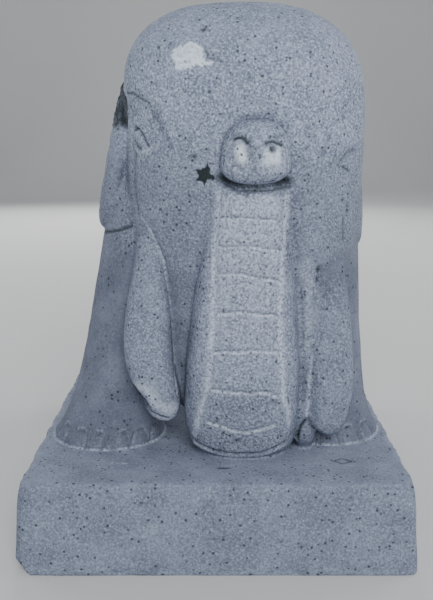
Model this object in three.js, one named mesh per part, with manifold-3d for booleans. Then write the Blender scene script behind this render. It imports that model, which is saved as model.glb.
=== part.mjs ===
// A standing elephant carved with its plinth from one block of volcanic stone.
// Millimetres, +Z up. The origin is the middle of the plinth's underside. The elephant faces -Y, so
// the side that is named left here, at -X, is on the left as one looks at its face.

import * as THREE from "three";
import { mergeVertices } from "three/addons/utils/BufferGeometryUtils.js";
import Module from "manifold-3d";

const wasm = await Module();
wasm.setup();

// The plinth
const plinthWidth = 218;
const plinthDepth = 284;
const plinthHeight = 50;
const plinthLean = 3.5; // each side leans in by this much between the underside and the top
const plinthEdgeRound = 3.5; // the top edge, worn round
const plinthCornerRadius = 6; // the upright corners
const brokenCornerSize = 9; // the lower front corner that has broken off
const brokenCornerTurn = Math.PI / 9; // how far the break is turned towards the front

// The figure. Its height sets all of it, and what stands below is in shares of that height.
const figureHeight = 250;
const figureSide = 0; // how far the figure stands to the right of the plinth's middle
const figureForward = 0; // and how far in front of it

// The chiselled lines
const chiselDepth = 1.1;
const trunkRingCount = 7;
const nailCount = 5;
const nailProud = 1.2;

/** A length that is given as a share of the figure's height. */
const share = (fraction) => fraction * figureHeight;

/** A point of the figure in shares of its height, from the middle of the plinth's top. */
function place(x, y, height) {
  return new THREE.Vector3(
    figureSide + share(x),
    share(y) - figureForward,
    plinthHeight + share(height),
  );
}

/** The three half-sizes of a form, in shares of the figure's height. */
const halves = (x, y, height) => new THREE.Vector3(share(x), share(y), share(height));

const head = {
  centre: place(0.064, -0.208, 0.78),
  half: halves(0.272, 0.208, 0.22), // the last is from its middle to the crown
  halfBelow: share(0.5), // from its middle to the chin
  crownPower: 2.6,
  chinPower: 3.5,
  planPower: 2.5,
  lean: -0.06, // how far the crown leans aside for each unit of height
};

const body = { centre: place(0.03, 0.13, 0.53), half: halves(0.29, 0.35, 0.32), power: 2.4 };
const shoulders = { centre: place(0.036, -0.13, 0.5), half: halves(0.25, 0.19, 0.29), power: 2.4 };

const legs = [
  { foot: place(-0.262, -0.232, 0), hip: place(-0.088, -0.15, 0.72), size: 1 },
  { foot: place(0.264, -0.2, 0), hip: place(0.188, -0.145, 0.72), size: 0.97 },
  { foot: place(-0.244, 0.336, 0), hip: place(-0.1, 0.25, 0.6), size: 1.04 },
  { foot: place(0.268, 0.336, 0), hip: place(0.16, 0.25, 0.6), size: 1.04 },
];
const legRadius = share(0.104); // above the ankle
const footFlare = share(0.036); // how much wider the sole is
const footFlareHeight = share(0.05);
const thighSwell = share(0.044); // how much wider the leg is where it meets the body
const hipRoundFrom = 0.75; // how far up it a leg starts to round off into the body
const hipRounding = 1.24905; // and the angle in radians that this rounding goes through
const nailHalf = halves(0.022, 0.013, 0.03);
const nailHeight = share(0.024);
const nailSpread = 2.2; // the angle in radians that a foot's nails take up

// The trunk, from the plinth up: the middle, half the width and the front at each height
const trunkStations = [
  { height: -0.004, x: 0.062, half: 0.09, front: -0.402 },
  { height: 0.014, x: 0.059, half: 0.112, front: -0.422 },
  { height: 0.05, x: 0.057, half: 0.124, front: -0.438 },
  { height: 0.16, x: 0.058, half: 0.13, front: -0.452 },
  { height: 0.3, x: 0.062, half: 0.122, front: -0.45 },
  { height: 0.44, x: 0.064, half: 0.108, front: -0.442 },
  { height: 0.55, x: 0.068, half: 0.092, front: -0.436 },
  { height: 0.62, x: 0.071, half: 0.084, front: -0.434 },
];
const trunkThickness = share(0.19);
const trunkSquareness = 2.5;
const trunkPanelHalf = share(0.076); // between the two lines that run up it
const trunkRingFirst = 0.17; // the heights of the lowest and the highest line across it
const trunkRingLast = 0.545;
const trunkRimHeights = [0.022, 0.05];

// The trunk's upper length, which comes down behind the one in front. It closes the space to the tusks
// and narrows below them, where it turns forward and up.
const rootStations = [
  { height: -0.004, x: 0.05, half: 0.09, middle: -0.285 },
  { height: 0.07, x: 0.05, half: 0.112, middle: -0.286 },
  { height: 0.094, x: 0.048, half: 0.138, middle: -0.287 },
  { height: 0.135, x: 0.046, half: 0.16, middle: -0.29 },
  { height: 0.3, x: 0.048, half: 0.17, middle: -0.307 },
  { height: 0.5, x: 0.05, half: 0.17, middle: -0.32 },
];
const rootThickness = share(0.127);

const snout = {
  centre: place(0.082, -0.404, 0.68),
  half: halves(0.072, 0.078, 0.068),
  power: 2.7,
  taper: 0.12, // how much narrower it is at its top and wider at the lip
};
const nostrilRadius = share(0.018);
const nostrilSpread = share(0.033);
const lipGroove = share(0.012);

// The tusks, from the tip up: the middle and half the width at each height
const tusks = [
  [
    { height: 0.081, x: -0.12, half: 0.014 },
    { height: 0.1, x: -0.122, half: 0.033 },
    { height: 0.131, x: -0.128, half: 0.045 },
    { height: 0.198, x: -0.148, half: 0.054 },
    { height: 0.27, x: -0.153, half: 0.054 },
    { height: 0.44, x: -0.149, half: 0.034 },
    { height: 0.56, x: -0.166, half: 0.005 },
  ],
  [
    { height: 0.042, x: 0.256, half: 0.018 },
    { height: 0.06, x: 0.253, half: 0.034 },
    { height: 0.095, x: 0.256, half: 0.043 },
    { height: 0.2, x: 0.258, half: 0.05 },
    { height: 0.323, x: 0.258, half: 0.041 },
    { height: 0.44, x: 0.266, half: 0.018 },
    { height: 0.5, x: 0.27, half: 0.005 },
  ],
];
const tuskWidestHalf = 0.054;
const tuskHalfDepth = share(0.052);
const tuskSquareness = 2.6;
const tuskLine = { tip: -0.352, turn: -0.37, top: -0.3 }; // how far forward its middle line stands

// The ears lie against the neck and stand off it more towards the back and the lower edge. Each hangs
// from its front upper corner; the left one has a torn lobe above its back edge.
const ears = [
  { side: -1, root: place(-0.208, -0.262, 0.735), lean: 0.2, torn: true },
  { side: 1, root: place(0.31, -0.25, 0.69), lean: 0.08, torn: false },
];
const earLength = share(0.31);
const earHeight = share(0.24);
const earThickness = share(0.05);
const earSpread = 0.1; // how far an ear stands off for each unit of length towards the back
const tornLobeHeight = share(0.1);

const eyes = [
  { side: -1, x: -0.166, height: 0.706, tilt: 0.6 },
  { side: 1, x: 0.282, height: 0.642, tilt: 0.5 },
];
const eyeHalf = halves(0.036, 0.016, 0.02);
const socketHalf = halves(0.09, 0.055, 0.095);
const socketDepth = share(0.015);
const browRise = 0.012; // how far the hollow's middle lies above the eye, so that the brow overhangs
const pupilRadius = share(0.011);

const tailPath = [
  place(0.03, 0.42, 0.72),
  place(0.032, 0.48, 0.58),
  place(0.042, 0.478, 0.46),
  place(0.05, 0.44, 0.34),
];
const tailRadius = share(0.024);
const tuftHalf = halves(0.036, 0.03, 0.062);

/** A number raised to a power with its sign kept. */
const signedPower = (value, power) => Math.sign(value) * Math.abs(value) ** power;

/** A point of a rounded outline: 2 gives an ellipse, and a higher squareness is nearer to a box. */
function outlinePoint(turn, halfX, halfY, squareness) {
  return [
    halfX * signedPower(Math.cos(turn), 2 / squareness),
    halfY * signedPower(Math.sin(turn), 2 / squareness),
  ];
}

/** The value between two named levels that a table of stations has at a height. */
function atHeight(stations, height, name) {
  const last = stations.length - 1;
  let index = 0;
  while (index < last - 1 && height > stations[index + 1].height) {
    index += 1;
  }
  const [low, high] = [stations[index], stations[index + 1]];
  const between = THREE.MathUtils.clamp((height - low.height) / (high.height - low.height), 0, 1);
  return THREE.MathUtils.lerp(low[name], high[name], between);
}

/** Turns a closed geometry into a solid that can be joined and cut. */
function toSolid(geometry) {
  geometry.deleteAttribute("normal");
  geometry.deleteAttribute("uv");
  const merged = mergeVertices(geometry, 1e-4);
  const mesh = new wasm.Mesh({
    numProp: 3,
    vertProperties: new Float32Array(merged.attributes.position.array),
    triVerts: new Uint32Array(merged.index.array),
  });
  return new wasm.Manifold(mesh);
}

/** Turns a solid back into a geometry with flat shading. */
function toGeometry(solid) {
  const mesh = solid.getMesh();
  const geometry = new THREE.BufferGeometry();
  geometry.setAttribute("position", new THREE.BufferAttribute(mesh.vertProperties, 3));
  geometry.setIndex(new THREE.BufferAttribute(mesh.triVerts, 1));
  geometry.computeVertexNormals();
  return geometry;
}

/** Moves each vertex of a geometry to where a function puts it. */
function reshape(geometry, move) {
  const position = geometry.attributes.position;
  const point = new THREE.Vector3();
  for (let index = 0; index < position.count; index += 1) {
    point.fromBufferAttribute(position, index);
    const moved = move(point);
    position.setXYZ(index, moved.x, moved.y, moved.z);
  }
  return geometry;
}

/**
 * A body of level sections between two flat ends. The section function gives the point at a share of the
 * way up and a turn round it; the middle of each end is its own section drawn in to nothing.
 */
function loft(rows, around, section) {
  const geometry = new THREE.CylinderGeometry(1, 1, 1, around, rows);
  return toSolid(
    reshape(geometry, (point) => {
      const reach = Math.round(Math.hypot(point.x, point.z));
      return section(point.y + 0.5, Math.atan2(-point.z, point.x), reach);
    }),
  );
}

/** A pebble: an ellipsoid that squareness makes fuller and taper makes narrower at its top. */
function pebble(centre, half, squareness, around = 16, rows = 10, taper = 0) {
  const geometry = new THREE.SphereGeometry(1, around, rows);
  return toSolid(
    reshape(geometry, (point) => {
      const turn = Math.atan2(-point.z, point.x);
      const rise = Math.asin(THREE.MathUtils.clamp(point.y, -1, 1));
      const [reach, height] = outlinePoint(rise, 1, half.z, squareness);
      const [x, y] = outlinePoint(turn, half.x * reach, half.y * reach, squareness);
      return new THREE.Vector3(x * (1 - (taper * height) / half.z), y, height).add(centre);
    }),
  );
}

/** A pebble that is turned so that its Y half lies along a direction and its X half is level. */
function pressedPebble(centre, half, direction, tilt = 0, around = 14, rows = 8) {
  const geometry = new THREE.SphereGeometry(1, around, rows);
  geometry.scale(half.x, half.z, half.y);
  geometry.rotateZ(tilt);
  const level = new THREE.Vector3(0, 0, 1).cross(direction).normalize();
  const upwards = direction.clone().cross(level);
  geometry.applyMatrix4(new THREE.Matrix4().makeBasis(level, upwards, direction));
  geometry.translate(centre.x, centre.y, centre.z);
  return toSolid(geometry);
}

/** A round bar along a smooth line through some points, which cuts a chiselled line or makes a tail. */
function bar(points, radius, steps, sides = 4) {
  const ring = new THREE.Shape();
  for (let side = 0; side < sides; side += 1) {
    const turn = (side / sides) * 2 * Math.PI;
    const [x, y] = outlinePoint(turn, radius, radius, 2);
    if (side === 0) {
      ring.moveTo(x, y);
    } else {
      ring.lineTo(x, y);
    }
  }
  ring.closePath();
  const extrudePath = new THREE.CatmullRomCurve3(points);
  return toSolid(new THREE.ExtrudeGeometry(ring, { steps, extrudePath, bevelEnabled: false }));
}

/** How far the head's section is drawn in at a height: 1 at its middle, 0 at the crown and the chin. */
function headDrawIn(z) {
  const above = z > head.centre.z;
  const power = above ? head.crownPower : head.chinPower;
  const rise = Math.abs(z - head.centre.z) / (above ? head.half.z : head.halfBelow);
  return Math.max(0, 1 - rise ** power) ** (1 / power);
}

/** The middle of the head's section at a height. */
const headMiddle = (z) => head.centre.x + head.lean * Math.max(0, z - head.centre.z);

/** The point on the front of the head straight behind a place in the front view. */
function onFace(x, z) {
  const drawIn = headDrawIn(z);
  const aside = Math.abs(x - headMiddle(z)) / head.half.x;
  const depth = Math.max(0, drawIn ** head.planPower - aside ** head.planPower) ** (1 / head.planPower);
  return new THREE.Vector3(x, head.centre.y - head.half.y * depth, z);
}

/** The way that the front of the head faces at a place in the front view. */
function faceNormal(x, z) {
  const step = share(0.004);
  const across = onFace(x + step, z).sub(onFace(x - step, z));
  const upwards = onFace(x, z + step).sub(onFace(x, z - step));
  return across.cross(upwards).normalize();
}

/** The plinth, with sides that lean in, a worn top edge and one broken corner. */
function makePlinth() {
  const arcSteps = 4;
  const cornerPoints = arcSteps + 1;
  const around = 4 * cornerPoints;
  const bends = [0, Math.PI / 6, Math.PI / 3, Math.PI / 2]; // round the worn edge, from the side to the top
  const rows = bends.length;
  const block = loft(rows, around, (up, turn, reach) => {
    const row = Math.round(up * rows);
    const bend = row === 0 ? 0 : bends[row - 1];
    const height = row === 0 ? 0 : plinthHeight - plinthEdgeRound * (1 - Math.sin(bend));
    const inset = (plinthLean * height) / plinthHeight + plinthEdgeRound * (1 - Math.cos(bend));
    const index = Math.round((turn / (2 * Math.PI) + 1) * around) % around;
    const corner = Math.floor(index / cornerPoints);
    const angle = ((corner + (index % cornerPoints) / arcSteps) * Math.PI) / 2;
    const signX = corner === 0 || corner === 3 ? 1 : -1;
    const signY = corner < 2 ? 1 : -1;
    const x = signX * (plinthWidth / 2 - inset - plinthCornerRadius) + plinthCornerRadius * Math.cos(angle);
    const y = signY * (plinthDepth / 2 - inset - plinthCornerRadius) + plinthCornerRadius * Math.sin(angle);
    return new THREE.Vector3(reach * x, reach * y, height);
  });
  const broken = new THREE.BoxGeometry(brokenCornerSize, brokenCornerSize * 3, brokenCornerSize);
  broken.rotateY(Math.PI / 4);
  broken.rotateZ(-brokenCornerTurn);
  broken.translate(-plinthWidth / 2, -plinthDepth / 2, 0);
  return block.subtract(toSolid(broken));
}

/** The head and face: a high dome over a long block that narrows at the chin. */
function makeHead() {
  const geometry = new THREE.SphereGeometry(1, 32, 21);
  return toSolid(
    reshape(geometry, (point) => {
      const turn = Math.atan2(-point.z, point.x);
      const rise = Math.asin(THREE.MathUtils.clamp(point.y, -1, 1));
      const above = rise > 0;
      const power = above ? head.crownPower : head.chinPower;
      const [reach, height] = outlinePoint(rise, 1, above ? head.half.z : head.halfBelow, power);
      const [x, y] = outlinePoint(turn, head.half.x * reach, head.half.y * reach, head.planPower);
      const z = head.centre.z + height;
      return new THREE.Vector3(headMiddle(z) + x, head.centre.y + y, z);
    }),
  );
}

/** The radius of a leg at a height above its sole. */
function legRadiusAt(up, leg) {
  const climb = up / (leg.hip.z - leg.foot.z);
  return leg.size * (legRadius + footFlare * Math.exp(-up / footFlareHeight) + thighSwell * climb ** 2);
}

/** One leg: a column that spreads into its foot, standing in the plinth, and ends round in the body. */
function makeLeg(leg) {
  const rows = [0, 0.03, 0.07, 0.13, 0.22, 0.38, 0.6, 0.8, 0.92, 1];
  const sink = 0.5; // into the plinth, so that the two are one
  return loft(rows.length - 1, 18, (up, turn, reach) => {
    const climb = rows[Math.round(up * (rows.length - 1))];
    const centre = leg.foot.clone().lerp(leg.hip, climb);
    const past = Math.max(0, (climb - hipRoundFrom) / (1 - hipRoundFrom));
    const rounding = Math.cos(Math.asin(Math.sin(hipRounding) * past));
    const radius = reach * rounding * legRadiusAt(centre.z - leg.foot.z, leg);
    const low = climb === 0 ? sink : 0;
    return new THREE.Vector3(
      centre.x + radius * Math.cos(turn),
      centre.y + radius * Math.sin(turn),
      centre.z - low,
    );
  });
}

/** The toenails of one foot, in an arc round its front. */
function makeNails(leg) {
  const radius = legRadiusAt(nailHeight, leg);
  const nails = [];
  for (let nail = 0; nail < nailCount; nail += 1) {
    const turn = -Math.PI / 2 + nailSpread * (nail / (nailCount - 1) - 0.5);
    const outwards = new THREE.Vector3(Math.cos(turn), Math.sin(turn), 0);
    const out = radius - nailHalf.y + nailProud;
    const centre = leg.foot.clone().addScaledVector(outwards, out);
    centre.z += nailHeight;
    nails.push(pressedPebble(centre, nailHalf, outwards, 0, 8, 5));
  }
  return nails;
}

/** A point on the front of the trunk, at a height in shares and a distance from its middle line. */
function onTrunk(height, aside) {
  const half = share(atHeight(trunkStations, height, "half"));
  const front = atHeight(trunkStations, height, "front");
  const middle = place(atHeight(trunkStations, height, "x"), front, height);
  const drawIn = 1 - Math.min(1, Math.abs(aside) / half) ** trunkSquareness;
  const depth = 1 - drawIn ** (1 / trunkSquareness);
  return new THREE.Vector3(middle.x + aside, middle.y + (depth * trunkThickness) / 2, middle.z);
}

/** The trunk: a thick column that curls on the plinth and rises in front of the face. */
function makeTrunk() {
  const rows = 13;
  const lowest = trunkStations[0].height;
  const highest = trunkStations[trunkStations.length - 1].height;
  return loft(rows, 22, (up, turn, reach) => {
    const height = THREE.MathUtils.lerp(lowest, highest, up ** 1.4);
    const half = share(atHeight(trunkStations, height, "half"));
    const [x, y] = outlinePoint(turn, half * reach, (trunkThickness / 2) * reach, trunkSquareness);
    const front = place(
      atHeight(trunkStations, height, "x"),
      atHeight(trunkStations, height, "front"),
      height,
    );
    return new THREE.Vector3(front.x + x, front.y + trunkThickness / 2 + y, front.z);
  });
}

/** The trunk's upper length, behind the one that rises in front. */
function makeTrunkRoot() {
  const rows = 10;
  const lowest = rootStations[0].height;
  const highest = rootStations[rootStations.length - 1].height;
  return loft(rows, 16, (up, turn, reach) => {
    const height = THREE.MathUtils.lerp(lowest, highest, up ** 1.6);
    const half = share(atHeight(rootStations, height, "half"));
    const [x, y] = outlinePoint(turn, half * reach, (rootThickness / 2) * reach, trunkSquareness);
    const middle = place(
      atHeight(rootStations, height, "x"),
      atHeight(rootStations, height, "middle"),
      height,
    );
    return new THREE.Vector3(middle.x + x, middle.y + y, middle.z);
  });
}

/** The chiselled lines of the trunk: two up it, rows across the panel between them, and rims below. */
function makeTrunkLines() {
  const lines = [];
  for (const side of [-1, 1]) {
    const upright = [];
    for (let step = 0; step <= 10; step += 1) {
      const height = THREE.MathUtils.lerp(trunkRingFirst - 0.1, trunkRingLast + 0.06, step / 10);
      upright.push(onTrunk(height, side * trunkPanelHalf));
    }
    lines.push(bar(upright, chiselDepth, 8));
  }
  for (let ring = 0; ring < trunkRingCount; ring += 1) {
    const height = THREE.MathUtils.lerp(trunkRingFirst, trunkRingLast, ring / (trunkRingCount - 1));
    const across = [-1, -0.5, 0, 0.5, 1].map((at) => onTrunk(height, at * trunkPanelHalf));
    lines.push(bar(across, chiselDepth, 4));
  }
  for (const height of trunkRimHeights) {
    const half = share(atHeight(trunkStations, height, "half"));
    const across = [-0.97, -0.8, -0.4, 0, 0.4, 0.8, 0.97].map((at) => {
      const point = onTrunk(height, at * half);
      point.z += share(0.02) * at ** 2;
      return point;
    });
    lines.push(bar(across, chiselDepth, 10));
  }
  return lines;
}

/** What the two nostrils and the fold under the lip take out of the end of the trunk. */
function makeSnoutCuts() {
  const face = snout.centre.y - snout.half.y;
  const cuts = [-1, 1].map((side) => {
    const centre = new THREE.Vector3(snout.centre.x + side * nostrilSpread, face, snout.centre.z);
    return pebble(centre, new THREE.Vector3(nostrilRadius, nostrilRadius, nostrilRadius), 2, 12, 8);
  });
  const under = snout.centre.z - snout.half.z;
  const fold = [-1, -0.6, 0, 0.6, 1].map(
    (at) => new THREE.Vector3(
      snout.centre.x + at * snout.half.x,
      face + lipGroove + (snout.half.y / 2) * at ** 4,
      under + lipGroove * 0.4 * (at ** 2 - 1),
    ),
  );
  cuts.push(bar(fold, lipGroove, 10));
  return cuts;
}

/** One tusk: a broad blade, narrow at the cheek and round at its lower end. */
function makeTusk(stations) {
  const rows = 13;
  const lowest = stations[0].height;
  const highest = stations[stations.length - 1].height;
  return loft(rows, 14, (up, turn, reach) => {
    const along = (1 - Math.cos(Math.PI * up)) / 2; // finer at both ends
    const height = THREE.MathUtils.lerp(lowest, highest, along);
    const half = atHeight(stations, height, "half");
    const bow = along ** 2 * tuskLine.top + 2 * along * (1 - along) * tuskLine.turn;
    const middle = place(atHeight(stations, height, "x"), bow + (1 - along) ** 2 * tuskLine.tip, height);
    const depth = tuskHalfDepth * (half / tuskWidestHalf) ** 0.6;
    const [x, y] = outlinePoint(turn, share(half) * reach, depth * reach, tuskSquareness);
    return new THREE.Vector3(middle.x + x, middle.y + y, middle.z);
  });
}

/** One ear: a flap with a straight lower edge and a round back, hung from its front upper corner. */
function makeEar(ear) {
  const flap = new THREE.Shape();
  flap.moveTo(0, 0);
  if (ear.torn) {
    flap.quadraticCurveTo(earLength * 0.2, earHeight * 0.1, earLength * 0.3, earHeight * 0.06);
    flap.lineTo(earLength * 0.36, tornLobeHeight * 0.9);
    flap.quadraticCurveTo(earLength * 0.6, tornLobeHeight * 1.2, earLength * 0.85, tornLobeHeight * 0.4);
  } else {
    flap.quadraticCurveTo(earLength * 0.5, earHeight * 0.24, earLength * 0.85, -earHeight * 0.02);
  }
  flap.quadraticCurveTo(earLength * 1.1, -earHeight * 0.5, earLength * 0.8, -earHeight * 0.92);
  flap.quadraticCurveTo(earLength * 0.5, -earHeight * 1.06, earLength * 0.14, -earHeight * 0.95);
  flap.quadraticCurveTo(-earLength * 0.04, -earHeight * 0.5, 0, 0);
  const bevel = earThickness / 3;
  const geometry = new THREE.ExtrudeGeometry(flap, {
    depth: earThickness,
    curveSegments: 4,
    bevelSegments: 2,
    bevelThickness: bevel,
    bevelSize: bevel,
    bevelOffset: -bevel,
  });
  return toSolid(
    reshape(geometry, (point) => {
      const aside = ear.side * (earSpread * point.x - ear.lean * point.y);
      const x = point.z - earThickness / 2 + aside;
      return new THREE.Vector3(x, point.x, point.y).add(ear.root);
    }),
  );
}

/** An eye with its socket: what the socket takes out, the eyeball, and the hole of its pupil. */
function makeEye(eye) {
  const at = place(eye.x, 0, eye.height);
  const outwards = faceNormal(at.x, at.z);
  const surface = onFace(at.x, at.z);
  const socketCentre = surface.clone().addScaledVector(outwards, socketHalf.y - socketDepth);
  socketCentre.z += share(browRise);
  const ballCentre = surface.clone().addScaledVector(outwards, -socketDepth * 0.8);
  const pupilCentre = surface.clone();
  return {
    socket: pressedPebble(socketCentre, socketHalf, outwards),
    ball: pressedPebble(ballCentre, eyeHalf, outwards, eye.side * eye.tilt),
    pupil: pebble(pupilCentre, new THREE.Vector3(pupilRadius, pupilRadius, pupilRadius), 2, 8, 6),
  };
}

/** Joins or cuts one solid by each of a list. */
const joinAll = (solid, others) => others.reduce((whole, other) => whole.add(other), solid);
const cutAll = (solid, others) => others.reduce((whole, other) => whole.subtract(other), solid);

/** The whole carving, built in the order in which its forms lie on each other. */
function makeElephant() {
  const eyeForms = eyes.map(makeEye);
  let stone = cutAll(
    makeHead(),
    eyeForms.map((eye) => eye.socket),
  );
  stone = joinAll(
    stone,
    eyeForms.map((eye) => eye.ball),
  );
  stone = cutAll(
    stone,
    eyeForms.map((eye) => eye.pupil),
  );
  stone = joinAll(stone, [
    pebble(body.centre, body.half, body.power, 24, 15),
    pebble(shoulders.centre, shoulders.half, shoulders.power, 20, 12),
    ...legs.map(makeLeg),
    ...ears.map(makeEar),
    ...tusks.map(makeTusk),
  ]);
  const trunk = cutAll(makeTrunk(), makeTrunkLines());
  const tip = cutAll(
    pebble(snout.centre, snout.half, snout.power, 16, 11, snout.taper),
    makeSnoutCuts(),
  );
  stone = joinAll(stone, [makeTrunkRoot(), trunk, tip]);
  stone = joinAll(stone, legs.flatMap(makeNails));
  stone = joinAll(stone, [
    bar(tailPath, tailRadius, 10, 8),
    pebble(tailPath[tailPath.length - 1], tuftHalf, 2, 10, 8),
  ]);
  return stone.add(makePlinth());
}

const stone = new THREE.MeshStandardMaterial({ color: 0x8b95a5, roughness: 0.94, metalness: 0 });
const elephant = new THREE.Mesh(toGeometry(makeElephant()), stone);
elephant.name = "stone_elephant";

const sculpture = new THREE.Group();
sculpture.add(elephant);

export default sculpture;
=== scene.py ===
"""A standing elephant carved with its plinth from one block of volcanic stone.

The forms are worked out with numpy as closed surfaces in millimetres, in the frame of the CAD model:
the middle of the plinth's underside is the origin, +Z is up and the elephant faces -Y. They are fused
into one skin, which is then chiselled point by point, and the skin replaces the plain solid.
"""

import logging
from dataclasses import dataclass, field
from enum import Enum

import bpy
import numpy as np
from mathutils import Matrix, Vector
from mathutils.bvhtree import BVHTree

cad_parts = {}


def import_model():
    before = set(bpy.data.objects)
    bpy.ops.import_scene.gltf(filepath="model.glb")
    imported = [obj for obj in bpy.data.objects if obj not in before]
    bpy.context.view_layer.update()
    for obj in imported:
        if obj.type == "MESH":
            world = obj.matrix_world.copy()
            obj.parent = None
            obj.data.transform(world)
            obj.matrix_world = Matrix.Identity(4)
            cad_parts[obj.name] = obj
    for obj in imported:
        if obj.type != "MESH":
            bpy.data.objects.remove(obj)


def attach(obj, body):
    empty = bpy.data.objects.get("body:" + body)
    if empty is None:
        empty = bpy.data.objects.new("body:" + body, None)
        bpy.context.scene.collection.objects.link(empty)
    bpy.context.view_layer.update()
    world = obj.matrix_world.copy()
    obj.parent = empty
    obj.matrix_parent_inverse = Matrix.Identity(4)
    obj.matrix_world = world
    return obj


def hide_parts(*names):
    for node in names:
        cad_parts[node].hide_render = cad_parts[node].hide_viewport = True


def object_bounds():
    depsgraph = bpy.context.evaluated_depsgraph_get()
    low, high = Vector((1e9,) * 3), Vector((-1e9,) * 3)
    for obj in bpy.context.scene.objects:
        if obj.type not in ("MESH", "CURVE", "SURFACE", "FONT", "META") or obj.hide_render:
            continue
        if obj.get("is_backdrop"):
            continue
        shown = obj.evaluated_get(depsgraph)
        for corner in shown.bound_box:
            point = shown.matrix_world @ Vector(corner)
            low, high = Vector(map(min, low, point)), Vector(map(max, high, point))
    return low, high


LOG = logging.getLogger("stone_elephant")

MM = 0.001
NODE = "stone_elephant"
BODY = "root"
MOST_TRIANGLES = 196000
UNDERSIDE = 0.6  # the height up to which the stone belongs to the flat underside
POLE = 0.495  # how near a ring of points comes to a pole, as a share of half a turn

Array = np.ndarray
Point = tuple[float, float, float]
Line = list[tuple[float, float]]
Colour = tuple[float, float, float]
Value = bpy.types.NodeSocket | float


class Side(Enum):
    """The side of the elephant, as one looks at its face."""

    LEFT = -1
    RIGHT = 1


class View(Enum):
    """A way of looking at the stone: the way that the eye looks, and what lies across and up."""

    FRONT = ((0, 1, 0), (1, 0, 0), (0, 0, 1))
    LEFT = ((1, 0, 0), (0, 1, 0), (0, 0, 1))
    RIGHT = ((-1, 0, 0), (0, 1, 0), (0, 0, 1))


class Cell(Enum):
    """The sizes, in millimetres, of the cells with which the forms are fused."""

    MASSES = 1.6
    SKIN = 0.85


def signed_power(value: Array, power: float) -> Array:
    """A number raised to a power with its sign kept: sign(v) times |v| to the power.

    Args:
        value: the numbers.
        power: the power.

    Returns:
        The numbers raised, in the same shape.
    """
    return np.sign(value) * np.abs(value) ** power


def smooth_step(value: Array, low: float, high: float) -> Array:
    """A ramp from 0 at low to 1 at high: 3t squared minus 2t cubed.

    Args:
        value: where the ramp is wanted.
        low: where it begins.
        high: where it ends, which may be below low.

    Returns:
        The ramp's values, from 0 to 1.
    """
    share = np.clip((value - low) / (high - low), 0.0, 1.0)
    return share * share * (3.0 - 2.0 * share)


def bell(distance: Array, width: float) -> Array:
    """A bell curve of a distance: e to the minus (d / width) squared.

    Args:
        distance: the distances.
        width: the distance at which the curve is down to about a third.

    Returns:
        The curve's values, 1 at no distance.
    """
    return np.exp(-((distance / width) ** 2))


def through_stations(at: Array, knots: tuple[float, ...], values: tuple[float, ...]) -> Array:
    """A smooth curve through some stations.

    Between two stations it is a cubic that meets each with the slope of the chord through its neighbours.

    Args:
        at: where the curve is wanted.
        knots: the stations' places, ascending.
        values: what the curve is at each station.

    Returns:
        The curve's values, in the shape of at.
    """
    place, height = np.asarray(knots, dtype=float), np.asarray(values, dtype=float)
    slope = np.gradient(height, place)
    index = np.clip(np.searchsorted(place, at, side="right") - 1, 0, len(place) - 2)
    span = place[index + 1] - place[index]
    t = np.clip((at - place[index]) / span, 0.0, 1.0)
    start, end = height[index], height[index + 1]
    rise = span * (slope[index] * t * (1 - t) ** 2 - slope[index + 1] * t**2 * (1 - t))
    return start + (end - start) * t**2 * (3 - 2 * t) + rise


def lattice_noise(points: Array, cell: float, seed: int) -> Array:
    """Smooth noise from -1 to 1.

    Random values stand on a cubic lattice and are blended along X, Y and Z by a smooth step.

    Args:
        points: places in millimetres, one a row.
        cell: the lattice's spacing in millimetres.
        seed: the seed of the random values.

    Returns:
        One value for each point.
    """
    scaled = points / cell
    base = np.floor(scaled).astype(np.int64)
    part = scaled - base
    part = part * part * (3.0 - 2.0 * part)
    low = base.min(axis=0)
    base = base - low
    size = base.max(axis=0) + 2
    values = np.random.default_rng(seed).uniform(-1.0, 1.0, size=tuple(size))
    total = np.zeros(len(points))
    for corner in range(8):
        step = np.array([corner & 1, (corner >> 1) & 1, (corner >> 2) & 1])
        weight = np.prod(np.where(step == 1, part, 1.0 - part), axis=1)
        index = base + step
        total += weight * values[index[:, 0], index[:, 1], index[:, 2]]
    return total


def inside(across: Array, up: Array, outline: Line) -> Array:
    """Whether points of a plane lie in a closed outline.

    Each edge that a level ray from the point crosses turns the answer over.

    Args:
        across: the points' first coordinate.
        up: their second coordinate.
        outline: the outline's corners.

    Returns:
        One truth value for each point.
    """
    found = np.zeros(len(across), dtype=bool)
    for (x0, y0), (x1, y1) in zip(outline, outline[1:] + outline[:1]):
        if y0 == y1:
            continue
        spans = (y0 > up) != (y1 > up)
        found ^= spans & (across < x0 + (up - y0) * (x1 - x0) / (y1 - y0))
    return found


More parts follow.
